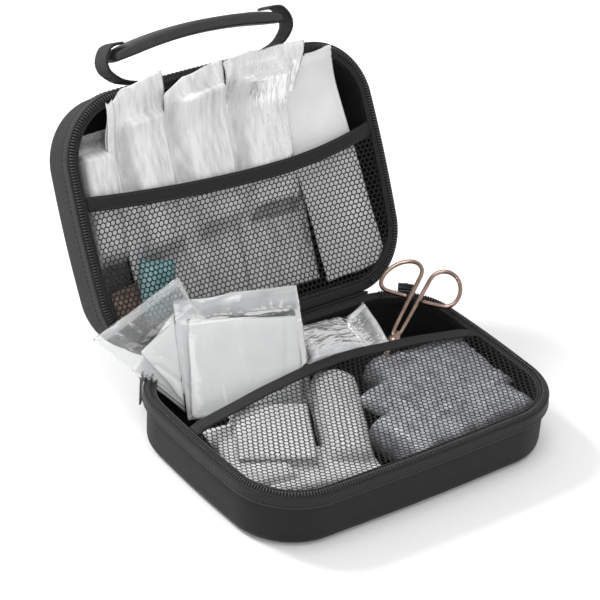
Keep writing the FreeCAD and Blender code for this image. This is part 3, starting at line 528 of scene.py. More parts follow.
def white_cloth(name, light, dark, pitch, depth, crease_size=5.0):
    """White gauze or non-woven cloth with threads and soft creases."""
    finish = Finish(name)
    u, v = finish.uv()
    threads = finish.maths("MULTIPLY", finish.wave(u, pitch), finish.wave(v, pitch))
    crease = finish.noise(crease_size, 5.0, 0.6)
    height = finish.plus(finish.maths("MULTIPLY", crease, 3.0), threads, 0.35)
    return finish.surface(
        Base_Color=finish.shade(finish.plus(crease, threads, 0.3), dark, light, 0.3, 0.75),
        Roughness=0.9, Sheen_Weight=0.1, Specular_IOR_Level=0.2,
        Normal=finish.bump(height, depth))


def clear_film(name, tone, gloss, depth, size, stretch, sharpness, rough=0.13):
    """Thin film: see-through where its haze attribute is low, with soft creases and glints."""
    finish = Finish(name)
    stretched = finish.add("ShaderNodeMapping", {
        "Vector": finish.add("ShaderNodeTexCoord").outputs["UV"],
        "Scale": (*stretch, 1.0)}, vector_type="TEXTURE").outputs[0]

    def creases(fineness, detail):
        return finish.add("ShaderNodeTexNoise", {
            "Vector": stretched, "Scale": fineness / size, "Detail": detail,
            "Roughness": 0.5}).outputs[0]

    soft = creases(1.0, 2.0)
    normal = finish.bump(finish.plus(soft, finish.fold(creases(1.7, 1.0)), -sharpness), depth)
    glint = finish.add("ShaderNodeFresnel", {"IOR": 1.45, "Normal": normal}).outputs[0]
    share = finish.maths("MULTIPLY_ADD", glint, gloss, 0.01, clamp=True)
    haze = finish.add("ShaderNodeAttribute", attribute_name="haze").outputs["Fac"]
    cover = finish.maths("MULTIPLY", haze, finish.maths("ADD", soft, 0.5), clamp=True)
    clear = finish.add("ShaderNodeBsdfTransparent", {"Color": (0.96, 0.97, 0.97, 1)})
    white = finish.add("ShaderNodeBsdfDiffuse", {"Color": (*tone, 1), "Normal": normal})
    glossy = finish.add("ShaderNodeBsdfGlossy", {
        "Color": (1, 1, 1, 1), "Roughness": rough, "Normal": normal})
    film = finish.blend(share, finish.blend(cover, clear, white), glossy)
    finish.tree.links.new(film.outputs[0], finish.output.inputs[0])
    return finish.material


def printed_film(name, light, dark, roughness=0.32):
    """Coloured or grey packet film, glossy and crumpled."""
    finish = Finish(name)
    broad = finish.noise(9.0, 4.0, 0.6)
    height = finish.maths("SUBTRACT", broad, finish.fold(finish.noise(2.6, 5.0, 0.6)))
    return finish.surface(
        Base_Color=finish.shade(broad, dark, light, 0.3, 0.7),
        Roughness=roughness, Coat_Weight=0.25, Coat_Roughness=0.15,
        Normal=finish.bump(height, 1.1))


def white_paper(name):
    """Medical paper with fine fibres."""
    finish = Finish(name)
    broad = finish.noise(22.0, 3.0)
    return finish.surface(
        Base_Color=finish.shade(broad, (0.66, 0.66, 0.67), (0.74, 0.74, 0.74), 0.3, 0.7),
        Roughness=0.6,
        Normal=finish.bump(finish.plus(finish.noise(0.5, 4.0, 0.7), broad, 4.0), 0.08))


LOOKS = {
    # name: maker and its values; cloths: thread pitch, style, tone, relief, roughness
    "case_fabric": (black_weave, 1.1, "twill", 0.0062, 0.12, 0.72),
    "lining": (black_weave, 0.9, "knit", 0.005, 0.08, 0.85),
    "zip_tape": (black_weave, 1.3, "rib", 0.0075, 0.12),
    "binding": (black_weave, 0.8, "rib", 0.007, 0.05, 0.5),
    "net": (black_weave, 0.5, "rib", 0.007, 0.03, 0.6),
    "elastic": (black_weave, 1.0, "rib", 0.007, 0.08),
    "thread": (black_weave, 0.4, "rib", 0.022, 0.05, 0.5),
    "webbing": (black_weave, 1.6, "knit", 0.010, 0.3, 0.6),
    # tone, roughness, grain size, relief, lacquer
    "zip_teeth": (black_solid, 0.020, 0.35, 0.4, 0.02),
    "slider_metal": (black_solid, 0.018, 0.25, 0.5, 0.01, 0.6),
    "grip_rubber": (black_solid, 0.022, 0.5, 0.45, 0.05),
    "scissors_metal": (warm_metal,),
    # light and dark tone, thread pitch, relief, crease size
    "gauze": (white_cloth, (0.80, 0.80, 0.80), (0.73, 0.73, 0.74), 0.9, 0.08, 14.0),
    "roll_gauze": (white_cloth, (0.80, 0.80, 0.79), (0.60, 0.60, 0.60), 1.1, 0.25, 4.0),
    "grey_cloth": (white_cloth, (0.82, 0.83, 0.84), (0.58, 0.59, 0.61), 0.8, 0.2),
    # tone, gloss, relief, crease size, stretch, crease sharpness, roughness
    "clear_film": (clear_film, (0.86, 0.87, 0.88), 1.3, 0.9, 9.0, (2.5, 1.0), 0.35),
    "crumpled_film": (clear_film, (0.86, 0.87, 0.88), 1.6, 1.0, 4.5, (4.0, 1.0), 0.8),
    "wrapper_film": (clear_film, (0.78, 0.78, 0.79), 0.6, 0.8, 3.0, (1.0, 5.0), 0.5, 0.25),
    # light and dark tone, roughness
    "seam_film": (printed_film, (0.84, 0.84, 0.85), (0.78, 0.78, 0.79), 0.4),
    "teal_film": (printed_film, (0.30, 0.52, 0.54), (0.12, 0.30, 0.32)),
    "brown_film": (printed_film, (0.20, 0.13, 0.10), (0.07, 0.045, 0.035)),
    "grey_film": (printed_film, (0.62, 0.63, 0.65), (0.30, 0.31, 0.33), 0.28),
    "pouch_paper": (white_paper,),
}
MATERIALS = {name: make(name, *values) for name, (make, *values) in LOOKS.items()}


# ---- shells, tape, teeth, binding ----------------------------------------
def tray(name, half, profile, crown, look, sag=0.0):
    """Wall swept round the outline and closed by a face; sag is the depth of soft folds."""
    wall, wall_uv = sweep(profile)
    face, face_uv = close_face(wall, crown)
    for grid in (wall, face):
        grid[..., 2] -= sag * noise(grid, 30.0, 3) * (grid[..., 2] > 8)
    return join_grids(name, [(half(wall), wall_uv), (half(face), face_uv)], look)


def shell(name, half, depth, crown):
    """Moulded shell: wall with rounded edge, flat face and inner mouth edge."""
    profile = rounded_profile([(5.4, 3.0), (5.2, 1.9), (SHELL_INSET, 1.9), (SHELL_INSET, 9.0),
                               (SHELL_INSET - 0.2, 14.0), (SHELL_INSET, depth),
                               (SHELL_INSET + EDGE_ROUNDING, depth)], EDGE_ROUNDING, 9)
    return tray(name, half, profile, crown, "case_fabric")


def lining_sheet(name, half, depth):
    """Knitted lining pressed into the shell, with a few soft folds."""
    bottom = depth - 3.4
    profile = rounded_profile([(LINING_INSET - 0.4, 3.0), (LINING_INSET, 6.0),
                               (LINING_INSET, bottom), (LINING_INSET + 12, bottom)], 10.0, 8)
    return tray(name, half, profile, 0.0, "lining", 0.5)


def tape_band(name, half):
    """Zip tape: proud outer band, rolled over the mouth to the inner binding."""
    profile = rounded_profile([(2.9, 10.0), (0.1, 10.0), (-0.1, 6.0), (0.0, 1.85), (2.2, 1.55),
                               (4.0, 1.75), (6.6, 2.1)], 1.1, 5)
    band, uv = sweep(profile)
    return join_grids(name, [(half(band), uv)], "zip_tape")


def binding_strip(name, half):
    """Bias binding sewn round the inner mouth edge, puckered by its stitches."""
    turn = np.linspace(0, 2 * math.pi, 17)
    rise = squared_off(np.sin(turn), 0.6)
    profile = stacked(7.0 + 0.75 * squared_off(np.cos(turn), 0.6), 4.7 - 3.1 * rise)
    strip, uv = sweep(profile)
    strip[..., 2] -= 0.14 * np.sin(RIM_RUN / 3.4 * 2 * math.pi)[:, None] * (rise > 0.2)[None]
    return join_grids(name, [(half(strip), uv)], "binding")


def along_rim(inset, depth, pitch, open_half=None):
    """Places along the rim, in half coordinates: origin, tangent, inward, down."""
    plan = RIM - RIM_NORMAL * inset
    run = run_along(plan)
    count = round(run[-1] / pitch)
    stops = (np.arange(count) + 0.5) * run[-1] / count
    x = np.interp(stops, run, plan[:, 0])
    y = np.interp(stops, run, plan[:, 1])
    nx = np.interp(stops, run, RIM_NORMAL[:, 0])
    ny = np.interp(stops, run, RIM_NORMAL[:, 1])
    size = np.hypot(nx, ny)
    places = []
    for px, py, ax, ay in zip(x, y, nx / size, ny / size):
        if open_half and abs(px) < open_half and py > HALF_DEPTH - 12:
            continue
        origin = np.array([px, py, depth])
        places.append((origin, np.array([-ay, ax, 0]), np.array([-ax, -ay, 0]),
                       np.array([0, 0, 1.0])))
    return places


def teeth_row(name, half):
    """Nylon coil: one bent loop for each tooth, open on the hinge side."""
    loop = [(0, -1.35, 1.2), (0, -0.9, 0.5), (0, 0, 0.2), (0, 0.9, 0.5), (0, 1.35, 1.2)]
    return thread_row(name, half, loop, 0.5, along_rim(2.9, 0.15, 1.75, 80.0), "zip_teeth")


def stitch_row(name, half, inset, depth, pitch, length):
    """Machine stitches: short threads laid end to end round the rim."""
    line = [(-length / 2, 0.18, 0), (-length / 4, -0.05, 0), (length / 4, -0.05, 0),
            (length / 2, 0.18, 0)]
    return thread_row(name, half, line, 0.24, along_rim(inset, depth, pitch), "thread")


def build_half(side, half, depth, crown):
    """All the fixed pieces of the base or the lid."""
    for node, piece in {
        "shell": shell(side + "_shell_skin", half, depth, crown),
        "lining": lining_sheet(side + "_lining_cloth", half, depth),
        "zip_tape": tape_band(side + "_tape_band", half),
        "binding": binding_strip(side + "_binding_strip", half),
        "zip_teeth": teeth_row(side + "_teeth_coil", half),
    }.items():
        settle(piece, side, side + "_" + node)
    settle(stitch_row(side + "_tape_stitches", half, -0.12, 8.6, 3.0, 2.3), side)
    settle(stitch_row(side + "_mouth_stitches", half, 5.2, 1.75, 2.6, 1.9), side)


build_half("base", in_base, BASE_DEPTH, -0.6)
build_half("lid", in_lid, LID_DEPTH, 0.6)


# ---- soft shapes ---------------------------------------------------------
def two_sided(name, x, y, front, back, place, look, haze=None):
    """Closed soft piece from front and back heights over a plan grid."""
    front_points, back_points = stacked(x, y, front), stacked(x, y, back)
    for edge in (np.s_[0], np.s_[-1], np.s_[:, 0], np.s_[:, -1]):
        middle = (front_points[edge] + back_points[edge]) / 2
        front_points[edge] = middle
        back_points[edge] = middle
    uv = stacked(x, y)
    mist = None if haze is None else np.concatenate([haze.ravel(), haze.ravel()])
    return join_grids(name, [(place(front_points), uv), (place(back_points), uv)], look, haze=mist)


def plan_grid(width, length, step, edge_wave=0.0, seed=0):
    """Plan grid centred on the origin, its outline a little uneven."""
    columns = max(8, round(width / step))
    rows = max(8, round(length / step))
    across, along = np.meshgrid(np.linspace(-1, 1, columns + 1), np.linspace(-1, 1, rows + 1))
    place = stacked(across * 9, along * 9, seed * 3.7)
    wave = edge_wave * (noise(place, 4.0, seed) - 0.5)
    other = edge_wave * (noise(place, 4.0, seed + 50) - 0.5)
    x = across * width / 2 + wave * np.abs(across) ** 3
    y = along * length / 2 + other * np.abs(along) ** 3
    return across, along, x, y


def lump(distance, reach, softness):
    """1 inside reach, falling smoothly to 0 over softness."""
    return 1 - smooth_step((distance - reach) / softness)


def film_bag(name, size, lump_size, lump_place, height, place, look, seed, crease=1.0, seal=5.0,
             bend=None, back_share=0.5, step=1.15, haze=(0.05, 0.25, 0.5), taut=0.8, warp=None):
    """Sealed film pouch with a lump inside, wrinkles and crimped end seals.

    haze is how white the film is over the lump, beside it and in the seals; back_share is
    how much of the lump stands out of the back."""
    width, length = size
    _, _, x, y = plan_grid(width, length, step, 1.6, seed)
    dx = np.abs(x - lump_place[0])
    dy = np.abs(y - lump_place[1])
    squared = np.clip(1 - (dx / (lump_size[0] / 2 + 0.8)) ** 6, 0, 1) ** 0.5
    softness = np.where(y < lump_place[1], 14.0, 6.0)
    body = lump(dy, lump_size[1] / 2 - 1.0, softness) * squared
    skirt = lump(dx, lump_size[0] / 2, 4.0) * lump(dy, lump_size[1] / 2, 9.0)
    body = np.maximum(body, skirt * 0.3)
    from_side, from_end = width / 2 - np.abs(x), length / 2 - np.abs(y)
    inside = np.clip((np.minimum(from_side, from_end) - 1.0) / 5.0, 0, 1)
    flat = stacked(x, y * 0.45, 0.0)
    big = ridges(flat, 13.0, seed) ** 2 - 0.35
    small = ridges(flat, 5.0, seed + 9) ** 2 - 0.3
    wrinkle = crease * (1.5 * big + 0.6 * small) * inside * (1 - taut * body)
    in_seal = np.clip((seal - from_end) / 0.8, 0, 1)
    side_seal = np.clip(3.0 - from_side, 0, 1)
    crimp = 0.22 * np.sin(y * 2 * math.pi / 1.5) * in_seal
    front = 0.25 + body * height * (1 - back_share) + wrinkle + crimp
    back = -0.25 - body * height * back_share + wrinkle * (1 - body) + crimp
    back = np.minimum(back, front - 0.3)
    curl = bend(x, y) if bend else 0.0
    mist = haze[1] + (haze[0] - haze[1]) * np.clip(body * 1.6, 0, 1)
    mist = mist + (haze[2] - mist) * np.maximum(in_seal, side_seal)
    mist = mist * (0.8 + 0.4 * noise(flat, 9.0, seed + 31))
    if warp:
        x, y = warp(x, y)
    return two_sided(name, x, y, front + curl, back + curl, place, look, mist)


def cushion(name, size, place, look, seed, power=4.0, rumple=0.5, edge_wave=1.0, step=1.4,
            bend=None):
    """Crowned closed pad whose sides pull in between its corners."""
    width, length, height = size
    across, along, x, y = plan_grid(width, length, step, edge_wave, seed)
    y = y * (1 - 0.03 * (1 - across ** 2) * np.abs(along) ** 6)
    x = x * (1 - 0.03 * (1 - along ** 2) * np.abs(across) ** 6)
    crown = ((1 - np.abs(across) ** power) * (1 - np.abs(along) ** power)).clip(0) ** 0.5
    flat = stacked(x, y, 0.0)
    rough = rumple * (ridges(flat, 9.0, seed) ** 2 + 0.5 * ridges(flat, 4.0, seed + 3) - 0.5)
    front = crown * (height / 2 + rough) + 0.05
    back = -crown * height / 2 - 0.05
    curl = bend(x, y) if bend else 0.0
    return two_sided(name, x, y, front + curl, back + curl, place, look)


def soft_roll(name, size, place, seed, rumple=0.5):
    """Bandage roll: squared-off round section, puckered ends, wound layers."""
    width, depth, length = size
    turn = np.linspace(0, 2 * math.pi, 57)
    share = np.linspace(-1, 1, 54)
    ends = np.sqrt(np.clip(1 - np.abs(share) ** 14, 0, 1))
    cx, cy = squared_off(np.cos(turn), 0.78), squared_off(np.sin(turn), 0.78)
    y = share[:, None] * length / 2
    points = stacked(ends[:, None] * cx * width / 2, y, ends[:, None] * cy * depth / 2)
    creases = ridges(points * [1, 0.35, 1], 7.0, seed) ** 2 - 0.4
    swell = rumple * creases + 0.25 * noise(points, 3.0, seed + 4)
    swell = swell + 0.12 * np.sin(y * 2 * math.pi / 2.6)
    swell[:, -1] = swell[:, 0]
    radial = stacked(cx, 0.0, cy)[None] * ends[:, None, None]
    points = points + radial * swell[..., None]
    grids = [(place(points), stacked(turn[None] * width / 2, y))]
    for end, outward in ((0, -1), (-1, 1)):
        face, shares = shrinking_rings(points[end], points[end][:-1].mean(0), 12)
        spiral = np.sin(shares[None] * 26 + turn[:, None])
        face[..., 1] += outward * (0.25 * spiral - 1.2 * shares[None] ** 3) * np.sin(
            shares[None] * math.pi)
        grids.append((place(face), face[..., [0, 2]].copy()))
    return join_grids(name, grids, "roll_gauze", merge=0.02)


# ---- lid contents --------------------------------------------------------
LID_LEAN = math.tan(math.radians(7.0))
WRAPPER_HAZE = (0.9, 0.86, 0.9)
ROLL_FILL = {
    # roll width, depth and length; film width and length; film centre (x, run above the
    # hinge, depth) and tilt; the roll's place in the film; how far the top curls out of the
    # lid; how the left edge lifts; slope, clipped corner and flare of the top edge; haze
    "small": dict(roll=(22, 20, 58), film=(26, 118), x=-87.5, run=80, depth=18.5, tilt=0.5,
                  inside=(0.0, 16.0), curl=2.0, lift=0.0, top=(0, 0, 0), haze=(0.8, 0.10, 0.15)),
    "narrow": dict(roll=(28, 20, 74), film=(45, 144), x=-57.0, run=90, depth=15.5, tilt=-3.0,
                   inside=(5.0, 12.5), curl=11.0, lift=0.4, top=(3, 8, 0), haze=WRAPPER_HAZE),
    "medium": dict(roll=(33, 21, 76), film=(46, 144), x=-14.0, run=88, depth=16.0, tilt=-3.5,
                   inside=(3.5, 20.5), curl=11.0, lift=0.0, top=(2, 6, 0), haze=WRAPPER_HAZE),
    "wide": dict(roll=(36, 21, 76), film=(52, 150), x=30.5, run=89, depth=15.0, tilt=1.0,
                 inside=(0.0, 20.5), curl=14.0, lift=0.0, top=(0, 3, 0.16), haze=WRAPPER_HAZE),
}


def on_lid(x, run, depth, tilt=0.0):
    """Placer for shapes drawn (across, up, out): at x and run above the hinge line."""
    def place(points):
        points = np.asarray(points, float)
        across, up = turn_flat(points[..., 0], points[..., 1], -math.radians(tilt))
        return in_lid(stacked(x + across, HALF_DEPTH - run - up, depth - points[..., 2]))

    return place


def fold_into_lid(piece, x):
    """Give a wrapper that stands out of the lid a mesh of its own."""
    top = in_lid((x, HALF_DEPTH - 165, -10.0))
    anchor = in_lid((x, HALF_DEPTH - 95, 12.0))
    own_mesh(piece)


def leaning_out(length, curl, seed, lift=0.0):
    """Bend of a wrapper: its top leans out of the lid and curls over the rim."""
    def bend(x, y):
        rise = smooth_step((y / length * 2 - 0.5) / 0.45)
        edge = lift * np.clip(-x - 10, 0, 20)
        ripple = 1 + 0.12 * np.sin(x / 7 + seed)
        return LID_LEAN * np.maximum(y, -36) + curl * rise * ripple + edge

    return bend


def trimmed_top(width, length, slope, cut, flare):
    """Outline change near a wrapper's top: sloping edge, clipped left corner, flare."""
    def warp(x, y):
        near_top = np.clip(y / length * 4 - 1, 0, 1) ** 2
        across = x * 2 / width
        corner = np.clip(-across - 0.35, 0, 1) / 0.65
        return x * (1 + flare * near_top), y + near_top * (slope * across - cut * corner)

    return warp


def lid_roll(name, fill, seed):
    """A wrapped bandage roll standing in the lid."""
    width, depth, length = fill["roll"]
    place = on_lid(fill["x"], fill["run"], fill["depth"], fill["tilt"])

    def place_roll(points):
        points = np.asarray(points, float) + [*fill["inside"], 0]
        return place(points + points[..., 1:2] * [0, 0, LID_LEAN])

    roll = soft_roll("bandage_" + name + "_gauze", (width - 1.5, depth - 1.5, length), place_roll,
                     seed)
    film_length = fill["film"][1]
    bag = film_bag("wrapper_" + name + "_film", fill["film"], (width, length), fill["inside"],
                   depth + 1.5, place, "wrapper_film", seed + 20, 0.7, 4.0,
                   leaning_out(film_length, fill["curl"], seed, fill["lift"]),
                   haze=fill["haze"], taut=0.75, warp=trimmed_top(*fill["film"], *fill["top"]))
    fold_into_lid(settle(bag, "lid", "wrapper_" + name), fill["x"])
    return [settle(roll, "lid", "bandage_" + name), bag]


def seam_strip():
    """Opaque white seal along the left edge of the second wrapper."""
    fill = ROLL_FILL["narrow"]
    length = fill["film"][1] - 3
    place = on_lid(fill["x"], fill["run"] - 3.0, fill["depth"], fill["tilt"])
    lean = leaning_out(length, fill["curl"], 1, fill["lift"])

    def beside(points):
        points = np.asarray(points, float) + [-19.5, 0, 1.6]
        return place(points + lean(points[..., 0:1], points[..., 1:2]) * [0, 0, 1])

    strip = cushion("wrapper_narrow_seal", (6.5, length, 0.7), beside, "seam_film", 61, 8.0, 0.25)
    fold_into_lid(settle(strip, "lid"), fill["x"])
    return strip


def flat_pack(name, node, width, length, height, tilt, shift, look, seed, bend=None):
    """Flat filled packet with crimped ends, behind the lid net."""
    middle = to_half(centre_of(node)) + shift
    place = on_lid(middle[0], HALF_DEPTH - middle[1], middle[2], tilt)
    pack = film_bag(name, (width, length), (width - 7, length - 12), (0, 0), height, place,
                    look, seed, 0.5, 3.5, bend, step=1.0)
    return settle(pack, "lid", node)


def paper_bend(x, y):
    """The paper pouch lies against the net on the right, behind the wide wrapper on the left."""
    return 0.14 * x + 7.0 * np.clip((y - 41) / 30, 0, 1) ** 2


lid_fill = []
for seed, (name, fill) in enumerate(ROLL_FILL.items()):
    lid_fill += lid_roll(name, fill, seed * 7 + 1)
paper = flat_pack("dressing_pouch_paper", "dressing_pouch", 43, 142, 3.6, -5.0, (3.0, 8, -3),
                  "pouch_paper", 71, paper_bend)
fold_into_lid(paper, 66.0)
lid_fill += [
    seam_strip(), paper,
    flat_pack("plaster_pack_teal_film", "plaster_pack_teal", 24, 36, 5.0, 14.0,
              (-9, -3, -3.5), "teal_film", 72),
    flat_pack("plaster_pack_brown_film", "plaster_pack_brown", 20, 24, 4.5, -8.0,
              (-2, 6, -3.5), "brown_film", 73),
]


# ---- base contents under the net -----------------------------------------
ROLL_ALONG = (0.487, 0.873, 0.0)


def laid(centre, along):
    """Placer for shapes drawn (across, along, up), put at a centre."""
    length, across, up = axes_from(along, (0, 0, 1))
    return in_axes(centre, -across, length, up)


def folded_sheets(name, size, layers, thickness, place, seed):
    """Stack of folded gauze sheets, each a little shifted from the one below."""
    grids = []
    for layer in range(layers):
        level = (layer - (layers - 1) / 2) * thickness
        across, along, x, y = plan_grid(*size, 1.6, 0.8, seed + layer)
        crown = ((1 - across ** 8) * (1 - along ** 8)).clip(0) ** 0.4
        flat = stacked(x, y, level)
        rise = 0.5 * (noise(flat, 16.0, seed) - 0.5) + 0.25 * (noise(flat, 5.0, seed + layer) - 0.5)
        shift = 1.2 * (lattice(layer, seed, 3, 5) - 0.5)
        for side in (1, -1):
            z = level + rise + side * crown * thickness * 0.46
            grids.append((place(stacked(x + shift, y, z)), stacked(x, y)))
    return join_grids(name, grids, "gauze")


def base_pillow(name, centre, along, size, look, seed, rumple, node=None):
    """Soft packet or loosely folded sheet lying in the base."""
    pillow = cushion(name, size, laid(np.array(centre, float), along), look, seed, 12.0, rumple,
                     1.2, 1.5)
    return settle(pillow, "base", node)


base_fill = [
    settle(folded_sheets("dressing_pad_gauze", (46, 56), 7, 4.0,
                         laid(centre_of("dressing_pad") + [-7, -2, -0.6], ROLL_ALONG), 81),
           "base", "dressing_pad"),
    base_pillow("packet_front_film", (47, -44, 17.5), (1, 0.1, 0), (46, 100, 27),
                "grey_film", 83, 1.8, "packet_front"),
    base_pillow("packet_side_film", (65, 0, 18.5), (1, -0.1, 0), (46, 72, 27),
                "grey_film", 84, 1.6, "packet_side"),
    base_pillow("packet_top_film", (51, -20, 26.5), (1, 0.25, 0), (54, 86, 11),
                "grey_film", 85, 2.4, "packet_top"),
    base_pillow("dressing_front_sheet", (-52, -42, 20), (1, -0.25, 0), (38, 74, 9),
                "gauze", 87, 1.2),
    base_pillow("dressing_side_sheet", (-80, -15, 24), (0.2, 1, 0), (34, 62, 8), "gauze", 88, 0.8),
    settle(soft_roll("bandage_base_gauze", (29, 28, 92),
                     laid(centre_of("bandage_base") + [3, 5.2, 1.2], ROLL_ALONG), 91, 1.1),
           "base", "bandage_base"),
]


# ---- pouches that stand out of the base ----------------------------------
FAN_ACROSS = np.array([47.1, 2.4, 19.2])
FAN_UP = np.array([-0.335, 0.567, 0.752])
STAND_ACROSS = np.array([72.4, -22.4, 0.0])
STAND_UP = np.array([7.0, 24.0, 38.0])
CLOTH_ACROSS = np.array([50.0, -6.0, 2.0])


def facing(centre, across, up):
    """Placer for shapes drawn (across, up, out towards the viewer)."""
    across = unit(across)
    up = unit(up - across * (up @ across))
    return in_axes(centre, across, up, np.cross(across, up))


def shrink_with_lid(pieces):
    """Give each soft piece a mesh of its own."""
    for piece in pieces:
        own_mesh(piece)


def creased_cloth(name, width, length, creases, place, seed):
    """Folded gauze cloth: overlapping panels whose edges slant across it."""
    across, along, x, y = plan_grid(width, length, 1.2, 1.0, seed)
    crown = ((1 - np.abs(across) ** 14) * (1 - np.abs(along) ** 14)).clip(0) ** 0.5
    steps = np.zeros_like(x)
    for spot, slant, rise in creases:
        distance = x - spot - slant * y
        steps = steps + rise / (1 + np.exp(-distance / 0.35)) * np.exp(-np.abs(distance) / 26)
    flat = stacked(x, y * 0.4, 0.0)
    soft = 1.4 * (noise(flat, 24.0, seed) - 0.5) + 0.35 * (noise(flat, 7.0, seed + 1) - 0.5)
    return settle(two_sided(name, x, y, crown * (1.4 + steps + soft), -crown * 1.6, place,
                            "gauze"), "base")


def right_pouch():
    """Large clear pouch with folded gauze, leaning on the lid net."""
    middle = centre_of("gauze_pouch_right") + [1.2, -5.0, -5.6]
    creases = ((-24, -0.1, 1.3), (-19, -0.16, 0.9), (-2, -0.12, 1.2), (24, 0.05, -1.0))
    pad = creased_cloth("gauze_pad_right_cloth", 70, 58, creases,
                        facing(middle + [-0.5, -4.6, -7.0], STAND_ACROSS + [0, 0, -8.0], STAND_UP),
                        101)
    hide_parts("gauze_pad_right")

    def curl(x, y):
        return -2.0 * np.clip(y / 33 - 0.3, 0, 1) ** 2 + 0.8 * np.sin(x / 14)

    bag = film_bag("gauze_pouch_right_film", (78, 72), (73, 56), (0.0, -7.5), 8.5,
                   facing(middle, STAND_ACROSS, STAND_UP), "clear_film", 103, 1.0, 4.0, curl,
                   haze=(0.03, 0.36, 0.42), taut=0.92)
    settle(bag, "base", "gauze_pouch_right")
    shrink_with_lid((pad, bag))


def over_the_rim(x, y):
    """Narrow the left pouch's lower left side so that it slips inside the rim."""
    left = np.interp(y, (-37.0, -8.0, 8.4, 37.0), (-7.0, -15.5, -23.5, -31.0))
    return 31.0 - (31.0 - x) * (31.0 - left) / 62.0, y


def left_pouch():
    """Smaller pouch fanned out to the left over the rim, behind the large one."""
    place = facing(np.array([-82.4, 66.5, 44.5]), FAN_ACROSS, FAN_UP)
    pads = []
    for index, (tilt, shift) in enumerate(((6.0, (12.0, -7.5)), (17.0, (7.5, -10.5)))):
        def fanned(points, tilt=math.radians(tilt), shift=shift, index=index):
            points = np.asarray(points, float)
            x, y = turn_flat(points[..., 0], points[..., 1], tilt)
            return place(stacked(x + shift[0], y + shift[1], points[..., 2] * 0.7 - 2.2 * index))

        pads.append(creased_cloth("gauze_pad_left_cloth_" + str(index), 44 + 2 * index,
                                  48 + 5 * index, ((-8 + 4 * index, -0.3, 0.9), (4, 0.1, 0.6)),
                                  fanned, 111 + index))
    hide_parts("gauze_pad_left")

    def curl(x, y):
        return 8 * np.clip((x + y) / 55 - 0.42, 0, 1) ** 2

    bag = film_bag("gauze_pouch_left_film", (62, 74), (46, 54), (8.0, -10.0), 6.5, place,
                   "clear_film", 113, 1.1, 5.5, curl, haze=(0.03, 0.10, 0.3), taut=0.9,
                   warp=over_the_rim)
    settle(bag, "base", "gauze_pouch_left")
    shrink_with_lid((*pads, bag))


def cloth_packet():
    """Crumpled clear packet with a folded cloth beside the scissors."""
    place = facing(centre_of("folded_cloth"), CLOTH_ACROSS, np.array([0, 1.0, 0.15]))
    cloth = cushion("folded_cloth_sheet", (36, 24, 6.0), place, "grey_cloth", 121, 5.0, 2.4, 3.0)
    settle(cloth, "base", "folded_cloth")

    def curl(x, y):
        return 9.0 * np.clip((x - 18) / 14, 0, 1) ** 2 * (0.6 + 0.4 * y / 18)

    bag = film_bag("cellophane_packet_film", (64, 35), (40, 26), (-3, 0), 11.0, place,
                   "crumpled_film", 123, 2.0, 4.0, curl, 0.45, haze=(0.14, 0.2, 0.55), taut=0.3)
    settle(bag, "base", "cellophane_packet")
    shrink_with_lid((cloth, bag))


right_pouch()
left_pouch()
cloth_packet()


# ---- nets and their elastic ----------------------------------------------
NET_INSET = 7.5
ELASTIC_WIDTH = 9.0
BASE_ELASTIC_SIDE = 12.0
BASE_ELASTIC_MIDDLE = span("base_net_elastic")[1][1]
LID_ELASTIC_SIDE = 25.0
LID_ELASTIC_MIDDLE = 14.3
LID_NET_END = 68.0
NET_PITCH = 3.4
NET_ROW = NET_PITCH * math.sqrt(3) / 2
CORD = 0.72
CORD_HALF = 0.26
DRAPE_STEP = 2.0
DRAPE_ROUNDS = 700


def elastic_edge(side_y, peak_y, peak_x, power, x):
    """Free edge of a net, pulled to its furthest point at peak_x."""
    offset = np.asarray(x, float) - peak_x
    reach = HALF_LENGTH + np.sign(offset) * -peak_x
    share = np.abs(offset) / reach
    return peak_y + (side_y - peak_y) * share ** power


def inset_limit(y, inset):
    """Largest |x| that stays inside the outline by an inset, at each y."""
    y = np.abs(np.asarray(y, float))
    straight = HALF_DEPTH - CORNER
    radius = CORNER - inset
    over = np.clip(y - straight, 0, radius)
    return HALF_LENGTH - CORNER + np.sqrt(np.clip(radius ** 2 - over ** 2, 0, None))


def inside_rim(x, y, inset):
    return (np.abs(x) < inset_limit(y, inset)) & (np.abs(y) < HALF_DEPTH - inset)


def drape_depths(pieces, to_half_points, low_y, edge_of, slack):
    """Depth grid of a net stretched over pieces, between the rim and its elastic.

    The net starts flat and its free points sink towards the mean of their neighbours, but
    never below the first piece underneath."""
    trees = []
    for piece in pieces:
        points = np.array([vertex.co for vertex in piece.data.vertices]) / MM
        faces = [tuple(face.vertices) for face in piece.data.polygons]
        trees.append(BVHTree.FromPolygons(to_half_points(points).tolist(), faces))
    xs = np.arange(-HALF_LENGTH, HALF_LENGTH + 1, DRAPE_STEP)
    ys = np.arange(-HALF_DEPTH, HALF_DEPTH + 1, DRAPE_STEP)
    grid_x, grid_y = np.meshgrid(xs, ys)
    in_edge = grid_y < edge_of(grid_x)
    free = inside_rim(grid_x, grid_y, NET_INSET) & (grid_y > low_y) & in_edge
    limit = np.full(grid_x.shape, 40.0)
    for row, column in np.argwhere(free):
        start = Vector((grid_x[row, column], grid_y[row, column], -20))
        for tree in trees:
            hit = tree.ray_cast(start, Vector((0, 0, 1)), 60)[0]
            if hit is not None:
                limit[row, column] = min(limit[row, column], hit[2] - 0.7)
    limit = np.clip(limit, 0.4, None)
    depth = np.where(free, 2.0, 1.9)
    depth[~in_edge] = 1.1
    for _ in range(DRAPE_ROUNDS):
        around = (np.roll(depth, 1, 0) + np.roll(depth, -1, 0)
                  + np.roll(depth, 1, 1) + np.roll(depth, -1, 1)) / 4
        depth[free] = np.minimum(around + slack, limit)[free]
    return xs, ys, depth


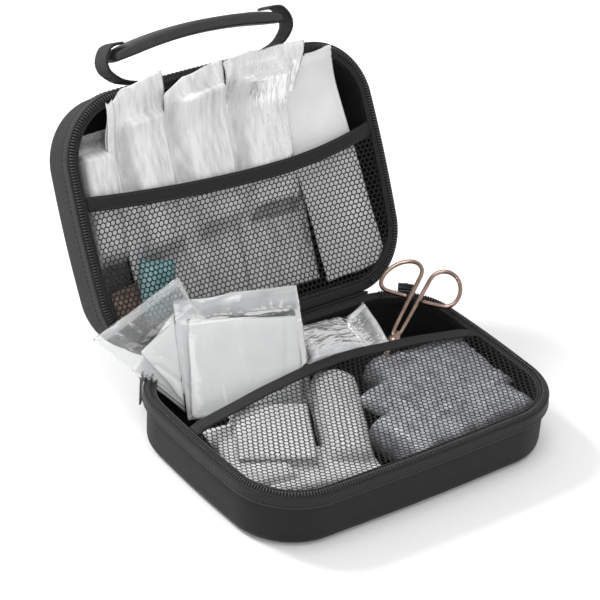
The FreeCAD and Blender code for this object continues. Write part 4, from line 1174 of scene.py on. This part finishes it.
def sample_grid(xs, ys, values, x, y):
    """Bilinear reading of a grid."""
    column = np.clip((x - xs[0]) / (xs[1] - xs[0]), 0, len(xs) - 1.001)
    row = np.clip((y - ys[0]) / (ys[1] - ys[0]), 0, len(ys) - 1.001)
    c, r = column.astype(int), row.astype(int)
    fc, fr = column - c, row - r
    return ((values[r, c] * (1 - fc) + values[r, c + 1] * fc) * (1 - fr)
            + (values[r + 1, c] * (1 - fc) + values[r + 1, c + 1] * fc) * fr)


def knitted_net(name, half, side, low_y, edge_of, drape):
    """Net of six-sided openings; each opening's edge is shared with its neighbours."""
    turn = np.radians(np.arange(6) * 60 + 30)
    ring = stacked(np.cos(turn), np.sin(turn))
    outer = NET_PITCH / math.sqrt(3)
    inner = outer - CORD / math.sqrt(3)
    columns = np.arange(-HALF_LENGTH, HALF_LENGTH, NET_PITCH)
    points, faces = [], []
    for number, y in enumerate(np.arange(low_y - 4, HALF_DEPTH, NET_ROW)):
        for x in columns + (number % 2) * NET_PITCH / 2:
            if not (inside_rim(x, y, NET_INSET - 0.6) and low_y < y < edge_of(x) + 1.0):
                continue
            base = len(points)
            for radius, z in ((outer, -CORD_HALF), (outer, CORD_HALF), (inner, 0.0)):
                points += [(*p, z) for p in [x, y] + ring * radius]
            for a in range(6):
                b = (a + 1) % 6
                faces.append((base + a, base + b, base + 12 + b, base + 12 + a))
                faces.append((base + 6 + b, base + 6 + a, base + 12 + a, base + 12 + b))
    points = np.array(points)
    even = stacked(points[:, 0], points[:, 1], 0.0)
    points[:, 0] += 0.9 * (noise(even, 24.0, 5) - 0.5)
    points[:, 1] += 0.9 * (noise(even, 24.0, 6) - 0.5)
    points[:, 2] += sample_grid(*drape, points[:, 0], points[:, 1])
    return settle(make_piece(name, half(points), faces, "net", merge=0.02, uv=points[:, :2]),
                  side, side + "_net")


def ripple(x):
    """How an elastic waves in and out along its length."""
    return 0.6 * (0.35 * np.sin(x / 17.0) + 0.2 * np.sin(x / 6.1))


def elastic_band(half, side, edge_of):
    """Folded elastic along the net's free edge, tucked under the binding, and its stitches."""
    x = np.linspace(-1, 1, 181) * (HALF_LENGTH - NET_INSET + 0.8)
    turn = np.linspace(0, 2 * math.pi, 21)
    thick = squared_off(np.sin(turn), 0.7)
    across = (squared_off(np.cos(turn), 0.35) - 1) * ELASTIC_WIDTH / 2
    ribbed = 0.07 * np.sin(across * 2 * math.pi / 1.5)
    depth = 1.25 + (0.62 + ribbed[None]) * -thick[None] + ripple(x)[:, None]
    depth = depth + 1.3 * np.clip((np.abs(x) - HALF_LENGTH + 14) / 8, 0, 1)[:, None]
    points = stacked(x[:, None], edge_of(x)[:, None] + across[None], depth)
    grids = [(half(points), stacked(x[:, None], across[None]))]
    for end in (0, -1):
        cap, _ = shrinking_rings(points[end], points[end][:-1].mean(0), 3)
        grids.append((half(cap), cap[..., :2].copy()))
    settle(join_grids(side + "_elastic_band", grids, "elastic", merge=0.01),
           side, side + "_net_elastic")
    stitch = [(-1.0, 0, 0.15), (-0.5, 0, -0.05), (0.5, 0, -0.05), (1.0, 0, 0.15)]
    places = []
    for line in (1.2, ELASTIC_WIDTH - 1.2):
        for px in np.arange(-HALF_LENGTH + 12, HALF_LENGTH - 12, 2.6):
            slope = (edge_of(px + 1) - edge_of(px - 1)) / 2
            along = np.array([1, slope, 0]) / math.hypot(1, slope)
            places.append((np.array([px, edge_of(px) - line, 0.62 + ripple(px)]), along,
                           np.array([-along[1], along[0], 0]), np.array([0, 0, 1.0])))
    settle(thread_row(side + "_elastic_stitches", half, stitch, 0.2, places, "thread"),
           side)


def base_edge(x):
    return elastic_edge(BASE_ELASTIC_SIDE, BASE_ELASTIC_MIDDLE + 1.2, 14.0, 1.45, x)


def lid_edge(x):
    """The lid's free edge measured from its middle towards the handle."""
    return elastic_edge(LID_ELASTIC_SIDE, LID_ELASTIC_MIDDLE, 30.0, 1.9, x)


def mirrored_lid(points):
    """Half coordinates with y measured towards the handle, to the opened lid."""
    return in_lid(points * [1, -1, 1])


def to_mirrored_lid(points):
    return to_half(points) * [1, -1, 1]


def net_with_elastic(side, half, to_half_points, pieces, low_y, margin, edge_of, slack):
    """A net over the pieces, up to its elastic; margin is how far it runs past low_y."""
    def net_edge(x):
        return edge_of(x) - ELASTIC_WIDTH + 1.0

    drape = drape_depths(pieces, to_half_points, low_y, net_edge, slack)
    knitted_net(side + "_net_knit", half, side, low_y - margin, net_edge, drape)
    elastic_band(half, side, edge_of)


net_with_elastic("base", in_base, in_base, base_fill, -HALF_DEPTH, 0, base_edge, 0.012)
net_with_elastic("lid", mirrored_lid, to_mirrored_lid, lid_fill, -LID_NET_END, 5, lid_edge, 0.010)


# ---- fabric hinge --------------------------------------------------------
def flat_strap(name, line, places, thickness, across_axis, look, weave=0.0):
    """Closed band whose middle line is given; places are the stations across it."""
    line = np.asarray(line, float)
    heading = np.gradient(line, axis=0)
    heading /= np.linalg.norm(heading, axis=1)[:, None]
    normal = np.cross(heading, across_axis)
    normal /= np.linalg.norm(normal, axis=1)[:, None]
    run = run_along(line)
    edge = np.ones(len(places))
    edge[0] = edge[-1] = 0.0
    thread = 2 * math.pi / 2.2
    check = np.sin(run * thread)[:, None] * np.sin(places * thread)[None]
    grids = []
    for side in (1, -1):
        lift = (side * thickness / 2 + weave * check * side) * edge[None]
        lift[0] = lift[-1] = 0.0
        grid = (line[:, None] + across_axis * places[None, :, None]
                + normal[:, None] * lift[..., None])
        grids.append((grid, stacked(run[:, None], places[None])))
    return join_grids(name, grids, look, merge=0.01)


def hinge_cloth():
    """Doubled twill strip over the hinge, curved from the base's back wall round to the lid's."""
    low, high = span("hinge_strip")
    back = HALF_DEPTH + 0.75
    depths = (8.0, 6.5, 4.5, 2.8, 1.9)
    base_part = [(0, back, MOUTH - depth) for depth in depths]
    lid_part = [in_lid((0, back, depth)) for depth in depths[::-1]]
    line = smooth_path(np.array(base_part + lid_part), 4)
    places = np.linspace(low[0], high[0], 77)
    places = np.concatenate([[places[0] - 0.3], places, [places[-1] + 0.3]])
    cloth = flat_strap("hinge_cloth", line, places, 0.7, np.array([1.0, 0, 0]), "case_fabric")
    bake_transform(cloth)
    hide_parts("hinge_strip")


hinge_cloth()


# ---- handle --------------------------------------------------------------
GRIP_HALF_SPAN = span("handle_grip")[1][0]
GRIP_DEPTH = to_half(np.array(joints["handle_swing"]["pos_m"]) / MM)[2]
GRIP_REACH_MIDDLE = 25.0
GRIP_REACH_END = 18.5


def grip_reach(x):
    share = np.abs(x) / GRIP_HALF_SPAN
    return GRIP_REACH_MIDDLE - (GRIP_REACH_MIDDLE - GRIP_REACH_END) * share ** 2


def handle_grip():
    """Arched rubber grip: soft edges, tapered ends, a ridged panel sunk in its top."""
    x = squared_off(np.linspace(-1, 1, 141), 0.9) * GRIP_HALF_SPAN
    turn = np.linspace(0, 2 * math.pi, 73)
    end = np.clip((np.abs(x) - 44) / (GRIP_HALF_SPAN - 44), 0, 1)
    tip = np.clip((np.abs(x) - GRIP_HALF_SPAN + 3.2) / 3.2, 0, 1)
    close = np.sqrt(np.clip(1 - tip ** 2, 0, 1))
    thick = (8.3 - 2.2 * end ** 1.5) * close / 2
    wide = (19.0 - 2.0 * end ** 1.5) * close / 2
    out = squared_off(np.cos(turn), 0.55)
    side = wide[:, None] * squared_off(np.sin(turn), 0.5)[None]
    reach = grip_reach(x)[:, None] + thick[:, None] * out[None]
    panel = lump(np.abs(x), 36, 3.0)[:, None] * lump(np.abs(side), 5.2, 1.4) * (out > 0.8)[None]
    ridge = 0.5 + 0.5 * np.sin((x[:, None] + 0.5 * side) * 2 * math.pi / 5.0)
    reach = reach - panel * (0.9 - 0.75 * ridge ** 2)
    parting = np.exp(-(side / 0.5) ** 2) * (out < 0)[None] * 0.18
    grid = stacked(x[:, None], -HALF_DEPTH - (reach - parting), GRIP_DEPTH + side)
    settle(join_grids("handle_grip_body", [(in_lid(grid), stacked(x[:, None], turn[None] * 8))],
                      "grip_rubber", merge=0.01), "handle", "handle_grip")


def handle_strap(side, name):
    """Webbing loop from the lid's wall round the end of the grip."""
    end = GRIP_HALF_SPAN
    reach = float(grip_reach(end - 5.5))
    stops = [(end - 20.0, 0.2), (end - 12.0, 1.6), (end - 3.5, 4.6), (end + 3.2, 10.5),
             (end + 4.9, 15.5), (end + 3.9, reach + 0.5), (end + 0.4, reach + 5.2),
             (end - 4.0, reach + 6.6), (end - 9.5, reach + 6.4)]
    line = smooth_path([(x * side, -HALF_DEPTH - run, GRIP_DEPTH) for x, run in stops], 7)
    strap = flat_strap("handle_webbing_" + name, in_lid(line), np.linspace(-7.5, 7.5, 29), 1.7,
                       INTO_LID, "webbing", 0.16)
    start = in_lid((side * end, -HALF_DEPTH - 2.0, GRIP_DEPTH))
    finish = in_lid((side * end, -HALF_DEPTH - reach, GRIP_DEPTH))
    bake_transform(strap)
    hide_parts("handle_strap_" + name)


def handle_anchor(name):
    """Webbing patch on the lid's wall with a stitched box and one diagonal."""
    middle = to_half(centre_of("handle_anchor_" + name))
    wall = -HALF_DEPTH + SHELL_INSET
    line = [(middle[0] + step, wall - 0.9, middle[2]) for step in np.linspace(-13, 13, 27)]
    patch = flat_strap("handle_patch_" + name, in_lid(np.array(line)), np.linspace(-7, 7, 27),
                       1.5, INTO_LID, "webbing", 0.12)
    settle(patch, "lid", "handle_anchor_" + name)
    corners = np.array([(-11, -5), (11, -5), (11, 5), (-11, 5), (-11, -5), (11, 5)], float)
    places = []
    for first, second in zip(corners[:-1], corners[1:]):
        count = round(np.linalg.norm(second - first) / 2.3)
        along = unit(second - first)
        for share in (np.arange(count) + 0.5) / count:
            spot = first + (second - first) * share
            places.append((np.array([middle[0] + spot[0], wall - 1.75, middle[2] + spot[1]]),
                           np.array([along[0], 0, along[1]]),
                           np.array([-along[1], 0, along[0]]), np.array([0, 1.0, 0])))
    stitch = [(-0.9, 0, 0.15), (0, 0, -0.1), (0.9, 0, 0.15)]
    settle(thread_row("handle_patch_stitches_" + name, in_lid, stitch, 0.24, places, "thread",
                      3), "lid")


handle_grip()
for side, name in ((-1, "left"), (1, "right")):
    handle_strap(side, name)
    handle_anchor(name)


# ---- scissors ------------------------------------------------------------
PIVOT = np.array(joints["scissors_pivot"]["pos_m"]) / MM
BLADE_NORMAL = np.array(joints["scissors_pivot"]["axis"])
SCISSORS_ALONG = np.array([0.792, 0.508, 0.338])
SCISSORS_TURN = math.radians(2.5)
WIRE_RADIUS = 1.4
# (along, across) of the wire from the pivot round its ring
RING_LINE = [(3.5, 1.5), (10, 2.2), (24, 2.5), (40, 2.8), (49, 3.0), (54.8, 3.2), (59.4, 4.6),
             (62.8, 8.4), (63.2, 13.6), (60.0, 19.2), (53.6, 23.6), (46.6, 25.4), (40.0, 24.5),
             (36.2, 20.6), (35.4, 14.6), (35.3, 6.2)]
# (along, width to the back, width to the cutting edge) of a blade from its tip to its heel
BLADE_LINE = [(-36, 0.5, 0.3), (-33, 1.5, 0.5), (-26, 2.4, 0.9), (-18, 2.9, 1.4),
              (-10, 3.2, 2.1), (-5, 3.8, 3.0), (-2, 4.3, 4.0), (0, 4.4, 4.4), (2, 4.2, 4.2),
              (4.5, 3.2, 2.0), (7.0, 2.4, 0.6)]
# (share of the width, height) round a blade's section
BLADE_SECTION = [(-1.0, 0.1), (-0.72, 0.75), (-0.35, 1.22), (0.6, 1.25), (0.94, 1.05),
                 (1.0, 0.65), (0.94, 0.15), (0.0, 0.08), (-1.0, 0.1)]
# (radius, height) of the rivet from its top to its bottom
RIVET_LINE = [(0.02, 2.35), (0.9, 2.3), (1.7, 2.05), (2.3, 1.6), (2.4, 1.3), (1.4, 1.25)]


def scissors_place(points):
    """Shapes drawn (along, across, up) put in the plane of the scissors."""
    points = np.asarray(points, float)
    along, across = turn_flat(points[..., 0], points[..., 1], SCISSORS_TURN)
    return in_axes(PIVOT, *axes_from(SCISSORS_ALONG, BLADE_NORMAL))(
        stacked(along, across, points[..., 2]))


def scissors_half(name, side):
    """One half: ground blade, pivot boss and wire bent to an open ring."""
    path = smooth_path([(along, side * across, side * 0.7) for along, across in RING_LINE], 7)
    wire, wire_uv = tube(path, WIRE_RADIUS, 16)
    stations = np.array(BLADE_LINE)
    fine = np.linspace(0, len(stations) - 1, 61)
    along, back, cut = (np.interp(fine, np.arange(len(stations)), column)
                        for column in stations.T)
    grid = np.stack([stacked(along, -side * share * (back if share > 0 else cut), side * height)
                     for share, height in BLADE_SECTION], 1)
    grids = [(scissors_place(wire), wire_uv), (scissors_place(grid), grid[..., :2].copy())]
    for end in (0, -1):
        cap, _ = shrinking_rings(grid[end], grid[end][:-1].mean(0), 2)
        grids.append((scissors_place(cap), cap[..., :2].copy()))
    return join_grids(name, grids, "scissors_metal", merge=0.01)


def rivet():
    """Domed rivet head on both sides of the pivot."""
    profile = np.array(RIVET_LINE + [(radius, -height) for radius, height in RIVET_LINE[::-1]])
    radius, height = profile[:, :1], profile[:, 1:]
    turn = np.linspace(0, 2 * math.pi, 33)
    grid = stacked(radius * np.cos(turn), radius * np.sin(turn), height)
    return join_grids("scissors_rivet_dome", [(scissors_place(grid), grid[..., :2].copy())],
                      "scissors_metal", merge=0.01)


settle(scissors_half("scissors_left_wire", -1), "scissors_left", "scissors_half_left")
settle(scissors_half("scissors_right_wire", 1), "scissors_right", "scissors_half_right")
settle(rivet(), "scissors_left", "scissors_rivet")


# ---- finish of the CAD nodes that stay -----------------------------------
for node in ("zip_slider_left", "zip_slider_right", "pull_tab_left", "pull_tab_right"):
    kept = frame["nodes"][node]
    kept.data.materials.clear()
    kept.data.materials.append(MATERIALS["slider_metal"])


# ---- floor, light, camera ------------------------------------------------
FLOOR_REACH = 6.0
FLOOR_DROP = 0.0004
PICTURE_MIDDLE = Vector((0, 0, 0.06))
LIGHT_TARGET = Vector((0, 0.05, 0.06))


def link(name, data):
    thing = bpy.data.objects.new(name, data)
    bpy.context.scene.collection.objects.link(thing)
    return thing


def floor():
    finish = Finish("floor_paper")
    finish.surface(Base_Color=finish.shade(finish.noise(3.0, 3.0), (0.93,) * 3, (0.95,) * 3),
                   Roughness=0.9, Specular_IOR_Level=0.1)
    mesh = bpy.data.meshes.new("floor")
    mesh.from_pydata([(x * FLOOR_REACH, y * FLOOR_REACH, 0)
                      for x, y in ((-1, -1), (1, -1), (1, 1), (-1, 1))], [], [(0, 1, 2, 3)])
    mesh.materials.append(finish.material)
    sheet = link("floor", mesh)
    sheet.location.z = -FLOOR_DROP


def soft_light(name, position, size, power):
    light = bpy.data.lights.new(name, "AREA")
    light.shape = "DISK"
    light.size = size
    light.energy = power
    lamp = link(name, light)
    lamp.location = position
    lamp.rotation_mode = "QUATERNION"
    lamp.rotation_quaternion = (LIGHT_TARGET - lamp.location).to_track_quat("-Z", "Y")


def camera():
    """Camera at the photographed angle: 38 degrees to the left, 31 above."""
    azimuth, elevation, roll = math.radians(-37.93), math.radians(31.17), math.radians(4.087)
    distance, shift_right, shift_up = 1.33106, -0.02984, 0.03018
    back = Vector((math.sin(azimuth) * math.cos(elevation),
                   -math.cos(azimuth) * math.cos(elevation), math.sin(elevation)))
    turned = back.to_track_quat("Z", "Y").to_matrix() @ Matrix.Rotation(roll, 3, "Z")
    right, up = turned @ Vector((1, 0, 0)), turned @ Vector((0, 1, 0))
    lens = bpy.data.cameras.new("camera")
    lens.lens = 136.646
    lens.sensor_width = 36.0
    eye = link("camera", lens)
    eye.rotation_mode = "QUATERNION"
    eye.rotation_quaternion = turned.to_quaternion()
    eye.location = PICTURE_MIDDLE + right * shift_right + up * shift_up + back * distance
    bpy.context.scene.camera = eye


def studio():
    """White surroundings with a large key light behind, a fill in front and one overhead."""
    world = bpy.data.worlds.new("studio")
    world.use_nodes = True
    world.node_tree.nodes["Background"].inputs[0].default_value = (1, 1, 1, 1)
    world.node_tree.nodes["Background"].inputs[1].default_value = 0.62
    bpy.context.scene.world = world
    soft_light("key", (-0.6, 1.15, 1.2), 0.45, 23.0)
    soft_light("fill", (-0.9, -1.5, 0.9), 1.0, 7.0)
    soft_light("top", (-0.1, -0.2, 1.9), 1.2, 12.0)
    bpy.context.scene.view_settings.view_transform = "Standard"


floor()
studio()
camera()
